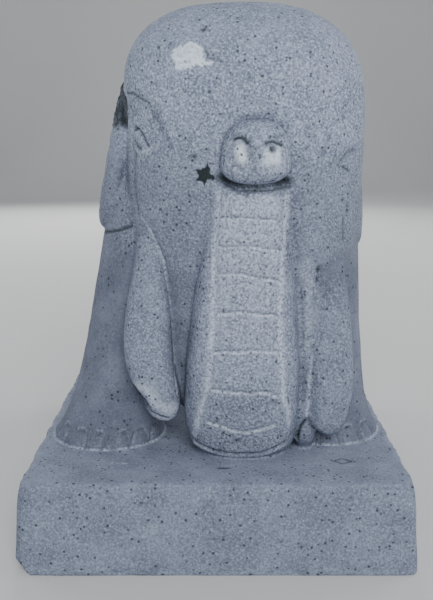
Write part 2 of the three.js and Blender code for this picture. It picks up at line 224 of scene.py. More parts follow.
@dataclass
class Surface:
    """A closed surface: its points in millimetres and its faces."""

    points: Array
    faces: list[tuple[int, ...]]

    @staticmethod
    def closed(grid: Array) -> "Surface":
        """Closes a grid of rings into a body with one point at the middle of each end.

        Args:
            grid: rings of points, as rows by turns by three.

        Returns:
            The surface, with its faces pointing out.
        """
        rows, around, _ = grid.shape
        ends = np.stack([grid[0].mean(axis=0), grid[-1].mean(axis=0)])
        points = np.concatenate([grid.reshape(-1, 3), ends])
        row, turn = np.meshgrid(np.arange(rows - 1), np.arange(around), indexing="ij")
        following = (turn + 1) % around
        quads = np.stack(
            [row * around + turn, row * around + following,
             (row + 1) * around + following, (row + 1) * around + turn], axis=-1).reshape(-1, 4)
        turns = np.arange(around)
        after = (turns + 1) % around
        first = np.stack([after, turns, np.full(around, rows * around)], axis=-1)
        last_row = (rows - 1) * around
        last = np.stack([last_row + turns, last_row + after, np.full(around, rows * around + 1)], axis=-1)
        if Surface.volume(points, quads) < 0:
            quads, first, last = quads[:, ::-1], first[:, ::-1], last[:, ::-1]
        faces = [tuple(face) for block in (quads, first, last) for face in block.tolist()]
        return Surface(points, faces)

    @staticmethod
    def volume(points: Array, quads: Array) -> float:
        """Six times the signed volume under some faces, about their middle.

        Args:
            points: the surface's points.
            quads: four point numbers a face.

        Returns:
            The volume, below nothing where the faces point in.
        """
        placed = points - points.mean(axis=0)
        a, b, c, d = (placed[quads[:, index]] for index in range(4))
        return float(np.einsum("ij,ij->i", a, np.cross(b, c) + np.cross(c, d)).sum())


def resample(knots: Array, step: float = 0.8) -> Array:
    """Points about a step apart along the straight stretches between some knots.

    Args:
        knots: the corners, one a row.
        step: the distance between the points, in millimetres.

    Returns:
        The points, both ends included; one knot stays as it is.
    """
    if len(knots) == 1:
        return knots
    length = np.concatenate([[0.0], np.cumsum(np.linalg.norm(np.diff(knots, axis=0), axis=1))])
    place = np.linspace(0.0, length[-1], max(2, int(length[-1] / step) + 1))
    return np.stack([np.interp(place, length, knots[:, axis]) for axis in range(knots.shape[1])], axis=-1)


def rings(rows: Array, around: int) -> tuple[Array, Array]:
    """A grid of row values by turns round the upright axis.

    Args:
        rows: one value a row.
        around: how many turns there are in a row.

    Returns:
        The row values and the turns in radians, as two arrays of one shape.
    """
    turns = np.linspace(0.0, 2.0 * np.pi, around, endpoint=False)
    return np.meshgrid(rows, turns, indexing="ij")


def pebble(centre: Point, half: Point, squareness: float) -> Surface:
    """An ellipsoid that squareness makes fuller.

    Formula: x, y and z are the half-sizes times the cosines and sines of a rise and a turn, each raised
    to 2 / squareness.

    Args:
        centre: its middle.
        half: its half-sizes.
        squareness: 2 for a true ellipsoid, more for a fuller one.

    Returns:
        The surface.
    """
    rise, turn = rings(np.linspace(-POLE, POLE, 48) * np.pi, 72)
    power = 2.0 / squareness
    reach = signed_power(np.cos(rise), power)
    height = signed_power(np.sin(rise), power)
    x = half[0] * reach * signed_power(np.cos(turn), power)
    y = half[1] * reach * signed_power(np.sin(turn), power)
    return Surface.closed(np.stack([x, y, half[2] * height], axis=-1) + np.array(centre))


def closed_curve(corners: Line, count: int) -> Array:
    """A smooth closed curve through some corners, by Catmull-Rom blending of each four in turn.

    Args:
        corners: the corners.
        count: how many points the curve gets.

    Returns:
        The curve's points, one a row.
    """
    knots = np.array(corners)
    place = np.linspace(0.0, len(knots), count, endpoint=False)
    index = np.floor(place).astype(int)
    t = (place - index)[:, None]
    before, start, end, after = (knots[(index + step) % len(knots)] for step in (-1, 0, 1, 2))
    return 0.5 * (2 * start + (end - before) * t + (2 * before - 5 * start + 4 * end - after) * t**2
                  + (3 * start - before - 3 * end + after) * t**3)


@dataclass
class Skin:
    """The fused stone while it is being chiselled.

    Attributes:
        points: the stone's points in millimetres.
        normals: the way out of the stone at each.
        tree: the stone's faces, for finding a place on it.
        sink: how far each point goes in, in millimetres.
        shift: how far each point is moved besides.
        dust: whitish stone dust, from 0 to 1.
        stain: dark growth and dirt, and painted shade in grooves and holes, from 0 to 1.
        scuff: bruised white stone, from 0 to 1.
        grime: painted shade in sheltered, recessed and low places and along creases, from 0 to 1.
        calm: stone whose grain is rubbed smooth, from 0 to 1.
        detail: where the mesh stays fine, from 0 to 1.
    """

    points: Array
    normals: Array
    tree: BVHTree
    sink: Array
    shift: Array
    dust: Array
    stain: Array
    scuff: Array
    grime: Array
    calm: Array
    detail: Array

    @staticmethod
    def of(piece: bpy.types.Object) -> "Skin":
        """The stone of a fused object, with nothing cut yet.

        Args:
            piece: the object.

        Returns:
            The skin.
        """
        points, normals = read_points(piece.data)
        tree = BVHTree.FromObject(piece, bpy.context.evaluated_depsgraph_get())
        blank = [np.zeros(len(points)) for _ in range(7)]
        return Skin(points, normals, tree, blank[0], np.zeros_like(points), *blank[1:])

    def onto(self, line: list[Point]) -> Array:
        """A line through some places, each moved to the nearest point of the stone.

        Args:
            line: the places, in millimetres.

        Returns:
            The line's points on the stone.
        """
        knots = resample(np.array(line, dtype=float))
        return np.array([self.tree.find_nearest(Vector(knot) * MM)[0] for knot in knots]) / MM

    def seen(self, view: View, line: Line) -> Array:
        """A flat line laid onto the stone, as it is seen from one side.

        Args:
            view: where the line is seen from.
            line: the line's corners, across and up that view.

        Returns:
            The line's points on the stone; what misses the stone is left out.
        """
        look, across, up = (np.array(way, dtype=float) for way in view.value)
        flat = resample(np.array(line, dtype=float))
        starts = flat[:, :1] * across + flat[:, 1:] * up - look * 400.0
        hits = [self.tree.ray_cast(Vector(start) * MM, Vector(look))[0] for start in starts]
        return np.array([hit for hit in hits if hit is not None]).reshape(-1, 3) / MM

    def near(self, line: Array, reach: float) -> tuple[Array, Array]:
        """The points near a line of the stone.

        Args:
            line: the line's points.
            reach: how far round it is looked, in millimetres.

        Returns:
            The points' numbers, and how far each one is from the line.
        """
        low, high = line.min(axis=0) - reach, line.max(axis=0) + reach
        index = np.flatnonzero(np.all((self.points > low) & (self.points < high), axis=1))
        points = self.points[index]
        away = np.linalg.norm(points - line[0], axis=1)
        for start, end in zip(line[:-1], line[1:]):
            way = end - start
            along = np.clip((points - start) @ way / max(way @ way, 1e-9), 0.0, 1.0)
            away = np.minimum(away, np.linalg.norm(points - start - along[:, None] * way, axis=1))
        return index, away

    def groove(self, line: Array, width: float, depth: float, dust: float = 0.0, stain: float = 0.0,
               scuff: float = 0.0, grime: float = 0.0) -> None:
        """Cuts a round-bottomed line, or raises a ridge where the depth is below nothing.

        Args:
            line: the line, on the stone.
            width: its half-width in millimetres.
            depth: its depth in millimetres.
            dust: how much whitish dust lies in it.
            stain: how much dark dirt and painted shade lies in it.
            scuff: how bruised it is.
            grime: how much painted shade darkens it.
        """
        if len(line) == 0:
            return
        index, away = self.near(line, 3.0 * width)
        cut = bell(away, width)
        self.sink[index] += depth * cut
        self.dust[index] = np.maximum(self.dust[index], dust * bell(away, 1.15 * width))
        self.stain[index] = np.maximum(self.stain[index], stain * bell(away, 0.9 * width))
        self.scuff[index] = np.maximum(self.scuff[index], scuff * cut) * (1.0 - stain * bell(away, width))
        self.grime[index] = np.maximum(self.grime[index], grime * bell(away, 1.2 * width))
        self.detail[index] = np.maximum(self.detail[index], bell(away, 1.6 * width))

    def score(self, line: Line, width: float, depth: float, **marks: float) -> None:
        """Cuts a line as it is seen from the front.

        Args:
            line: the line's corners, across and up.
            width: its half-width in millimetres.
            depth: its depth in millimetres, below nothing for a ridge.
            marks: the dust, the dark dirt with painted shade, the scuff and the painted shade that groove
                takes.
        """
        self.groove(self.seen(View.FRONT, line), width, depth, **marks)

    def hollow(self, view: View, outline: Line, depth: float, edge: float, reach: float) -> None:
        """Sinks a region whose edge is crisp near its deepest place and fades out away from it.

        Args:
            view: where the region is seen from.
            outline: the region's outline; its first point is the deepest place and not on the outline.
            depth: the depth at the deepest place, in millimetres.
            edge: the width of the sloping edge.
            reach: how far from the deepest place the hollow fades out.
        """
        look, across, up = (np.array(way, dtype=float) for way in view.value)
        a, b = self.points @ across, self.points @ up
        facing = smooth_step(-(self.normals @ look), -0.1, 0.2)
        middle, border = outline[0], outline[1:]
        index = np.flatnonzero(inside(a, b, border) & (facing > 0.0))
        away = np.full(len(index), np.inf)
        for (x0, y0), (x1, y1) in zip(border, border[1:] + border[:1]):
            dx, dy = x1 - x0, y1 - y0
            along = np.clip(((a[index] - x0) * dx + (b[index] - y0) * dy) / (dx * dx + dy * dy), 0.0, 1.0)
            away = np.minimum(away, np.hypot(a[index] - x0 - along * dx, b[index] - y0 - along * dy))
        fade = bell(np.hypot(a[index] - middle[0], b[index] - middle[1]), reach)
        self.sink[index] += depth * smooth_step(away, 0.0, edge) * fade * facing[index]
        self.detail[index] = np.maximum(self.detail[index], 0.9 * fade)

    def patch(self, view: View, outline: Line, ragged: float, fine: float = 0.9) -> Array:
        """How much each point lies in an outline with a ragged edge, on the side that one sees.

        Args:
            view: where the outline is seen from.
            outline: the outline's corners, across and up that view.
            ragged: how far its edge wanders, in millimetres.
            fine: how fine the mesh stays there, from 0 to 1.

        Returns:
            A share from 0 to 1 for each point.
        """
        look, across, up = (np.array(way, dtype=float) for way in view.value)
        a = self.points @ across + ragged * lattice_noise(self.points, 1.9, 5)
        b = self.points @ up + ragged * lattice_noise(self.points, 1.9, 6)
        share = inside(a, b, outline) * smooth_step(-(self.normals @ look), 0.0, 0.3)
        self.detail = np.maximum(self.detail, fine * share)
        return share

    def chip(self, place: Point, way: Point, reach: float, rough: float) -> None:
        """Breaks off what stands beyond a plane.

        Args:
            place: a place on the plane.
            way: the way out of the stone there.
            reach: how far from the place the break goes at most, in millimetres.
            rough: how uneven the break is, in millimetres.
        """
        out = np.array(way, dtype=float)
        out = out / np.linalg.norm(out)
        away = self.points - np.array(place)
        beyond = away @ out
        index = np.flatnonzero((beyond > 0.0) & (np.linalg.norm(away, axis=1) < reach))
        if len(index) == 0:
            return
        uneven = rough * lattice_noise(self.points[index], 2.6, 8)
        self.shift[index] -= (beyond[index] + np.minimum(beyond[index], 1.0) * (1.0 + uneven))[:, None] * out

    def apply(self, piece: bpy.types.Object) -> None:
        """Moves the piece's points and stores the marks with them.

        The underside stays flat. The vertex group plain is 1 where the mesh may be thinned.

        Args:
            piece: the object that the skin was read from.
        """
        moved = self.points + self.shift - self.normals * self.sink[:, None]
        underside = self.points[:, 2] < UNDERSIDE
        moved[:, 2] = np.where(underside, self.points[:, 2], np.maximum(moved[:, 2], 0.05))
        # The painted shade is lifted where the stone is bruised or dusty.
        self.grime = self.grime * (1.0 - np.clip(np.maximum(self.scuff, 0.5 * self.dust), 0.0, 1.0))
        mesh = piece.data
        mesh.vertices.foreach_set("co", (moved * MM).astype(np.float32).ravel())
        for name in ("dust", "stain", "scuff", "grime", "calm"):
            layer = mesh.attributes.new(name, "FLOAT", "POINT")
            layer.data.foreach_set("value", np.clip(getattr(self, name), 0.0, 1.0).astype(np.float32))
        mesh.update()
        plain = piece.vertex_groups.new(name="plain")
        levels = 8
        step = np.round(levels * np.clip(1.0 - self.detail, 0.02, 1.0)).astype(int)
        for level in range(levels + 1):
            plain.add(np.flatnonzero(step == level).tolist(), max(0.01, level / levels), "REPLACE")


@dataclass
class Head:
    """The head: a high dome over a long face, with its brows, eyes and cheeks."""

    centre: Point = (16.0, -52.0, 245.0)
    half: Point = (68.0, 52.0, 54.7)
    half_below: float = 125.0
    crown_power: float = 2.6
    chin_power: float = 3.5
    plan_power: float = 2.5
    lean: float = -0.06

    def surface(self) -> Surface:
        """The dome and face: an ellipsoid whose lower half is longer and squarer than its upper.

        Returns:
            The surface, in millimetres.
        """
        rise, turn = rings(np.linspace(-POLE, POLE, 90) * np.pi, 120)
        above = rise > 0
        power = np.where(above, 2.0 / self.crown_power, 2.0 / self.chin_power)
        reach = signed_power(np.cos(rise), power)
        height = signed_power(np.sin(rise), power) * np.where(above, self.half[2], self.half_below)
        plan = 2.0 / self.plan_power
        x = self.half[0] * reach * signed_power(np.cos(turn), plan) + self.lean * np.maximum(0.0, height)
        y = self.half[1] * reach * signed_power(np.sin(turn), plan)
        return Surface.closed(np.stack([x, y, height], axis=-1) + np.array(self.centre))

    def chisel(self, skin: Skin) -> None:
        """Cuts the brows, eyes and cheeks, and leaves the marks on the forehead.

        Args:
            skin: the stone that is cut.
        """
        self._left_eye(skin)
        self._right_eye(skin)
        cheek = [(-44.9, 220.0), (-45.9, 209.0), (-45.6, 198.0), (-44.1, 186.0)]
        # Painted shade along the cheek's crease.
        skin.score(cheek, width=3.0, depth=1.0, grime=0.95)
        self._forehead(skin)

    def _left_eye(self, skin: Skin) -> None:
        """The brow that overhangs the left eye, and the almond eye that slopes to the trunk.

        Args:
            skin: the stone that is cut.
        """
        brow = [(-49.5, 250.6), (-44.4, 249.9), (-40.0, 247.0), (-35.6, 244.9)]
        fold = [(-33.0, 240.2), (-30.5, 236.8), (-27.9, 231.9), (-25.9, 227.0), (-24.0, 222.1)]
        closing = [(-29.0, 210.0), (-40.0, 204.0), (-53.0, 208.0), (-53.0, 250.0)]
        socket = [(-37.0, 236.0), *brow, *fold, *closing]
        skin.hollow(View.FRONT, socket, depth=2.0, edge=3.0, reach=15.0)
        # The dark of the brow's line, the lids, the eye's hole and the dots is painted shade in their
        # grooves, with some dirt; the fold gets painted shade.
        skin.score(brow, width=0.75, depth=1.0, stain=0.75)
        skin.score(fold, width=1.6, depth=0.3, grime=0.7)
        skin.score([(-44.2, 227.8), (-41.6, 224.6)], width=2.6, depth=-1.1)
        rim = [(-45.0, 220.9), (-42.3, 218.6), (-37.7, 219.6), (-36.1, 221.6)]
        skin.score(rim, width=1.1, depth=-0.8, dust=0.7)
        upper = [(-45.6, 231.5), (-43.4, 231.8), (-40.4, 227.8), (-38.2, 223.8), (-36.6, 221.9)]
        skin.score(upper, width=0.7, depth=1.4, stain=0.8)
        lower = [(-45.6, 226.5), (-43.1, 221.7), (-41.0, 221.0)]
        skin.score(lower, width=0.65, depth=1.0, stain=0.7)
        skin.score([(-45.8, 231.0), (-45.0, 231.6)], width=1.2, depth=2.0, stain=1.0)
        for dot in ((-49.0, 212.9), (-49.4, 226.3)):
            skin.score([dot], width=0.8, depth=0.8, stain=0.8)

    def _right_eye(self, skin: Skin) -> None:
        """The right eye, which is worn and turned away.

        Args:
            skin: the stone that is cut.
        """
        socket = [(69.5, 213.0), (76.0, 224.0), (68.0, 222.0), (61.0, 215.0), (62.0, 204.0), (72.0, 200.0),
                  (84.0, 205.0), (84.0, 222.0)]
        skin.hollow(View.FRONT, socket, depth=1.4, edge=3.0, reach=9.0)
        skin.score([(70.5, 210.5)], width=3.2, depth=-1.0)
        lid = [(75.0, 219.8), (71.0, 218.3), (67.8, 215.0), (66.6, 212.2)]
        # The dark of the lid, the eye, the ear's edge and the marks is painted shade in their grooves, with
        # some dirt.
        skin.score(lid, width=1.1, depth=1.4, stain=0.4)
        skin.score([(68.6, 211.5), (72.1, 209.2)], width=0.8, depth=1.2, stain=0.7)
        skin.score([(59.2, 227.0), (57.5, 221.4), (55.2, 217.5)], width=1.3, depth=0.6, stain=0.25)
        ear_front = [(71.6, 190.8), (71.2, 185.5), (69.3, 182.8), (70.1, 171.6)]
        skin.score(ear_front, width=1.3, depth=1.0, stain=0.35)
        for mark in ((76.6, 238.3), (66.9, 237.2), (59.4, 227.2)):
            skin.score([mark], width=0.9, depth=0.7, stain=0.7)

    def _forehead(self, skin: Skin) -> None:
        """The bruised white patch with its scar, the dark star and the pits.

        Args:
            skin: the stone that is cut.
        """
        patch = [(-23.0, 270.3), (-19.8, 273.3), (-11.7, 275.2), (-8.3, 273.7), (-6.7, 269.9), (-6.1, 266.3),
                 (-1.5, 264.8), (-5.0, 263.2), (-11.1, 262.9), (-17.3, 260.4), (-20.8, 262.3), (-22.4, 266.0)]
        bruise = skin.patch(View.FRONT, patch, ragged=0.9)
        skin.scuff = np.maximum(skin.scuff, bruise * (0.85 + 0.3 * lattice_noise(skin.points, 1.5, 7)))
        skin.sink += 0.25 * bruise
        scar = [(-5.5, 271.7), (-4.3, 267.8), (-1.8, 266.8), (3.2, 265.0)]
        # The scar's dark line is painted shade in its groove, with some dirt.
        skin.score(scar, width=0.8, depth=0.8, stain=0.6)
        skin.score([(9.5, 264.2), (12.0, 264.6)], width=0.8, depth=0.6, stain=0.5)
        middle = (-6.6, 207.4)
        spikes = [(-4.0, 214.0), (-1.2, 206.8), (-6.8, 201.8), (-11.0, 205.2), (-11.4, 211.2)]
        star = []
        for here, after in zip(spikes, spikes[1:] + spikes[:1]):
            star.append(here)
            star.append(tuple(0.4 * (here[axis] + after[axis]) + 0.2 * middle[axis] for axis in range(2)))
        growth = skin.patch(View.FRONT, star, ragged=1.3)
        skin.stain = np.maximum(skin.stain, growth)
        skin.sink += 0.4 * growth
        pits = {(-12.0, 217.3): 1.5, (-6.8, 281.8): 1.8, (32.2, 288.4): 1.0, (-30.2, 273.1): 1.1,
                (-24.0, 274.6): 0.9, (56.0, 155.7): 1.6, (55.4, 151.0): 1.4}
        # The pits' dark is painted shade in the holes, with some dirt.
        for place, radius in pits.items():
            skin.score([place], width=radius, depth=0.8 * radius, stain=0.95)


@dataclass
class Trunk:
    """The trunk: it comes down from the face, curls on the plinth and rises again in front of itself."""

    heights: tuple[float, ...] = (49.0, 53.5, 62.5, 90.0, 125.0, 160.0, 187.5, 206.0)
    middles: tuple[float, ...] = (15.5, 14.8, 14.2, 14.5, 15.5, 16.0, 17.0, 17.8)
    halves: tuple[float, ...] = (22.5, 28.0, 31.0, 32.5, 30.5, 27.0, 23.0, 21.0)
    fronts: tuple[float, ...] = (-100.5, -105.5, -109.5, -113.0, -112.5, -110.5, -109.0, -108.5)
    thickness: float = 47.5
    squareness: float = 2.5
    root_heights: tuple[float, ...] = (49.0, 67.5, 73.5, 83.8, 125.0, 175.0)
    root_middles: tuple[float, ...] = (12.5, 12.5, 12.0, 11.5, 12.0, 12.5)
    root_halves: tuple[float, ...] = (22.5, 28.0, 34.5, 40.0, 42.5, 42.5)
    root_depths: tuple[float, ...] = (-71.2, -71.5, -71.8, -72.5, -76.8, -80.0)
    root_thickness: float = 31.8
    web_centre: Point = (50.8, -80.0, 109.0)
    web_half: Point = (9.5, 16.5, 60.0)
    web_squareness: float = 2.8
    snout_centre: Point = (20.2, -101.0, 220.0)
    snout_half: Point = (18.2, 19.5, 17.0)
    snout_above: float = 2.5
    snout_below: float = 4.2
    snout_plan: float = 2.8
    snout_taper: float = 0.08
    lip_rise: float = 3.6

    def rising(self) -> Surface:
        """The length in front, as level rounded sections whose size follows the height.

        The sections stand closer together near the plinth: the climb is a share raised to 1.3.

        Returns:
            The surface, in millimetres.
        """
        climb = np.linspace(0.0, 1.0, 80) ** 1.3
        height, turn = rings(self.heights[0] + (self.heights[-1] - self.heights[0]) * climb, 96)
        half = through_stations(height, self.heights, self.halves)
        power = 2.0 / self.squareness
        x = through_stations(height, self.heights, self.middles) + half * signed_power(np.cos(turn), power)
        front = through_stations(height, self.heights, self.fronts)
        y = front + self.thickness / 2.0 * (1.0 + signed_power(np.sin(turn), power))
        return Surface.closed(np.stack([x, y, height], axis=-1))

    def root(self) -> Surface:
        """The length behind, which closes the space to the tusks and narrows below them.

        Returns:
            The surface, in millimetres.
        """
        height, turn = rings(np.linspace(self.root_heights[0], self.root_heights[-1], 70), 72)
        half = through_stations(height, self.root_heights, self.root_halves)
        power = 2.0 / self.squareness
        x = through_stations(height, self.root_heights, self.root_middles)
        x = x + half * signed_power(np.cos(turn), power)
        y = through_stations(height, self.root_heights, self.root_depths)
        y = y + self.root_thickness / 2.0 * signed_power(np.sin(turn), power)
        return Surface.closed(np.stack([x, y, height], axis=-1))

    def web(self) -> Surface:
        """The stone left standing between the trunk and the right tusk."""
        return pebble(self.web_centre, self.web_half, self.web_squareness)

    def tip(self) -> Surface:
        """The end of the trunk, which stands out between the eyes.

        It is a full ellipsoid, rounder above than below, narrower at the top by the taper; its lower lip
        rises towards the corners with the square of the distance from the middle.

        Returns:
            The surface, in millimetres.
        """
        rise, turn = rings(np.linspace(-POLE, POLE, 60) * np.pi, 84)
        power = np.where(rise > 0, 2.0 / self.snout_above, 2.0 / self.snout_below)
        plan = 2.0 / self.snout_plan
        reach = signed_power(np.cos(rise), power)
        height = signed_power(np.sin(rise), power)
        across = reach * signed_power(np.cos(turn), plan)
        x = self.snout_half[0] * across * (1.0 - self.snout_taper * height)
        y = self.snout_half[1] * reach * signed_power(np.sin(turn), plan)
        z = self.snout_half[2] * height + self.lip_rise * across**2 * np.maximum(0.0, -height)
        return Surface.closed(np.stack([x, y, z], axis=-1) + np.array(self.snout_centre))

    def chisel(self, skin: Skin) -> None:
        """Cuts the panel of rings, the trunk's edges, its rim and its tip.

        Args:
            skin: the stone that is cut.
        """
        left = [(1.5, 199.0), (0.5, 187.0), (-1.5, 173.0), (-1.5, 158.0), (-2.0, 130.0), (-3.2, 112.0),
                (-4.2, 98.0), (-7.9, 83.3), (-10.1, 74.3), (-12.4, 64.0)]
        right = [(36.9, 197.0), (36.0, 177.3), (34.5, 154.3), (33.6, 134.0), (34.9, 110.8), (35.7, 97.8),
                 (36.8, 87.9), (39.5, 80.2), (40.1, 72.0)]
        for border in (left, right):
            skin.score(border, width=1.7, depth=0.7, dust=0.8)
        foot = [(-8.0, 60.0), (36.0, 60.0)]
        panel = skin.patch(View.FRONT, [*left, *foot, *right[::-1]], ragged=1.5, fine=0.0)
        skin.dust = np.maximum(skin.dust, 0.5 * panel * smooth_step(skin.points[:, 2], 80.0, 190.0))
        rows = [
            [(2.5, 186.5), (16.4, 186.6), (29.0, 185.6), (33.2, 184.2)],
            [(0.5, 171.2), (16.5, 171.9), (22.0, 171.4), (31.2, 169.8), (34.4, 169.0)],
            [(1.5, 157.0), (14.1, 157.4), (20.6, 155.5), (29.3, 154.5), (34.0, 152.9)],
            [(0.5, 136.1), (13.2, 137.3), (22.3, 135.9), (30.5, 135.3), (33.1, 134.1)],
            [(-1.6, 114.8), (5.0, 116.0), (12.2, 115.9), (21.4, 116.4), (29.6, 115.5), (33.5, 114.9)],
            [(-2.2, 94.0), (6.1, 93.5), (18.0, 92.5), (25.2, 93.4), (32.6, 90.6)],
            [(-5.3, 75.3), (3.1, 73.2), (9.3, 70.6), (16.7, 69.7), (23.4, 71.0), (32.0, 73.4)],
        ]
        # The rings' dark lines are painted shade in their grooves, with some dirt.
        for row in rows:
            skin.score(row, width=0.6, depth=0.9, stain=0.45)
            skin.score([(x, z - 1.1) for x, z in row], width=0.8, depth=-0.2, dust=0.95)
        self._edges(skin)
        self._tip_marks(skin)

    def _edges(self, skin: Skin) -> None:
        """The lines where the trunk leaves the face, and the rim where it turns on the plinth.

        Args:
            skin: the stone that is cut.
        """
        left = [(-3.9, -102.5, 197.6), (-5.5, -101.7, 187.0), (-6.6, -100.8, 178.4), (-10.5, -97.8, 161.2),
                (-12.9, -94.0, 144.0), (-14.7, -93.5, 126.3), (-18.3, -93.0, 90.0)]
        right = [(39.7, -101.9, 197.6), (41.2, -100.3, 178.4), (43.5, -97.4, 161.2), (45.7, -90.3, 137.0),
                 (48.6, -86.0, 106.0), (49.0, -84.0, 82.0)]
        # Painted shade along the trunk's edges where it leaves the face.
        for edge in (left, right):
            skin.groove(skin.onto(edge), width=2.2, depth=1.2, grime=0.78)
        grit = [(48.6, -95.0, 158.0), (49.4, -95.0, 136.0), (50.2, -95.0, 112.0)]
        skin.groove(skin.onto(grit), width=3.4, depth=0.0, dust=0.42)
        rim = [(-12.8, 59.6), (-3.8, 57.0), (7.4, 54.6), (16.4, 54.6), (23.9, 54.6), (30.8, 56.9),
               (37.8, 59.5)]
        # The rim's dark line is painted shade in its groove, with some dirt.
        skin.score(rim, width=0.85, depth=1.3, stain=0.6)
        skin.score([(x, z - 2.0) for x, z in rim], width=0.8, depth=-0.5, dust=0.5)
        # These dark holes are painted shade in them, with some dirt.
        skin.score([(12.0, 63.8)], width=1.3, depth=1.0, stain=0.9)
        skin.groove(skin.onto([(-16.9, -97.9, 91.9), (-15.5, -101.2, 87.9)]),
                    width=0.8, depth=1.2, stain=1.0)
        # The slit's black and the dark line below are painted shade in the deep cuts.
        slit = [(50.6, -90.0, 70.5), (48.9, -90.0, 67.0), (47.4, -88.0, 57.0)]
        skin.groove(skin.onto(slit), width=0.9, depth=2.0, stain=1.0)
        ridge = [(52.0, -96.0, 99.8), (51.6, -96.0, 84.0), (50.6, -94.0, 73.0)]
        skin.groove(skin.onto(ridge), width=0.65, depth=-0.5, dust=0.85)
        below = [(52.0, -88.0, 72.0), (54.8, -92.0, 64.5), (59.0, -94.0, 60.6), (65.0, -94.0, 60.0),
                 (71.0, -92.0, 62.0)]
        skin.groove(skin.onto(below), width=0.9, depth=0.9, stain=0.7)

    def _tip_marks(self, skin: Skin) -> None:
        """The nostrils under their lids, the ridge between them and the fold under the lip.

        Args:
            skin: the stone that is cut.
        """
        # Painted shade round the left nostril's ball.
        around = [(8.0, 225.5), (6.8, 219.5), (8.2, 214.2), (12.5, 212.2), (16.6, 214.6)]
        skin.score(around, width=1.7, depth=0.6, grime=0.35)
        skin.score([(12.1, 222.5), (12.5, 217.0)], width=2.8, depth=-1.6)
        skin.score([(11.4, 221.6), (12.8, 217.4)], width=3.2, depth=0.0, scuff=1.0)
        lid = [(8.3, 227.2), (10.7, 228.0), (13.2, 227.5), (15.3, 225.2), (17.0, 220.8), (16.8, 217.5)]
        # The lid's dark line is painted shade in its groove, with some dirt.
        skin.score(lid[:4], width=1.1, depth=2.0, stain=0.95)
        skin.score(lid[3:], width=1.3, depth=1.2, stain=0.35)
        # Painted shade round the right nostril's ball.
        around = [(24.0, 220.5), (23.6, 216.5), (26.5, 212.6), (31.0, 212.6), (33.6, 216.5), (33.4, 221.0)]
        skin.score(around, width=1.6, depth=0.6, grime=0.35)
        skin.score([(28.4, 219.6), (28.6, 216.6)], width=2.8, depth=-1.4)
        for height in (216.2, 219.6):
            skin.score([(26.3, height), (30.7, height)], width=2.9, depth=0.0, scuff=1.0)
        # The nostril's hole and the lid's line are painted shade in their grooves, with some dirt.
        skin.score([(28.0, 221.6)], width=1.9, depth=2.6, stain=1.0)
        lid = [(24.6, 224.4), (26.1, 225.6), (28.1, 226.0), (30.2, 225.2), (33.3, 223.9)]
        skin.score(lid, width=1.0, depth=1.8, stain=0.95)
        skin.score([(26.4, 227.6), (30.6, 228.0), (34.6, 229.2)], width=0.8, depth=0.9, stain=0.6)
        skin.score([(20.2, 225.0), (20.4, 212.0)], width=2.3, depth=-0.9)
        # Painted shade along the tip's border.
        border = [(1.5, -104.0, 207.0), (2.6, -106.0, 216.0), (4.0, -107.0, 224.0), (8.0, -106.0, 232.0),
                  (14.0, -104.0, 236.0), (26.0, -104.0, 237.0), (33.0, -104.0, 233.0), (37.5, -105.0, 224.0),
                  (39.0, -103.5, 210.0)]
        skin.groove(skin.onto(border), width=1.8, depth=0.5, grime=0.9)
        place = np.linalg.norm(skin.points - np.array(self.snout_centre), axis=1)
        skin.detail = np.maximum(skin.detail, smooth_step(place, 30.0, 24.0))
        fold = [(2.2, -103.0, 206.0), (8.8, -108.0, 203.6), (14.5, -110.0, 202.6), (19.6, -110.0, 202.4),
                (27.8, -109.0, 203.2), (38.2, -102.0, 204.4)]
        # The fold under the lip, blacker at its corners, and the line under it are painted shade under the
        # overhanging tip, with some dirt.
        skin.groove(skin.onto(fold), width=2.2, depth=3.0, stain=0.8)
        for corner in ((3.4, -104.0, 206.0), (36.4, -103.4, 205.0)):
            skin.groove(skin.onto([corner]), width=2.4, depth=0.6, stain=1.0)
        under = [(2.7, -104.0, 203.6), (11.1, -108.0, 200.3), (18.0, -108.6, 199.8), (27.7, -107.1, 200.2),
                 (38.3, -102.3, 201.6)]
        skin.groove(skin.onto(under), width=0.8, depth=0.9, stain=0.75)
        skin.score([(15.9, 199.2), (16.1, 197.1)], width=0.6, depth=0.6, stain=0.6)


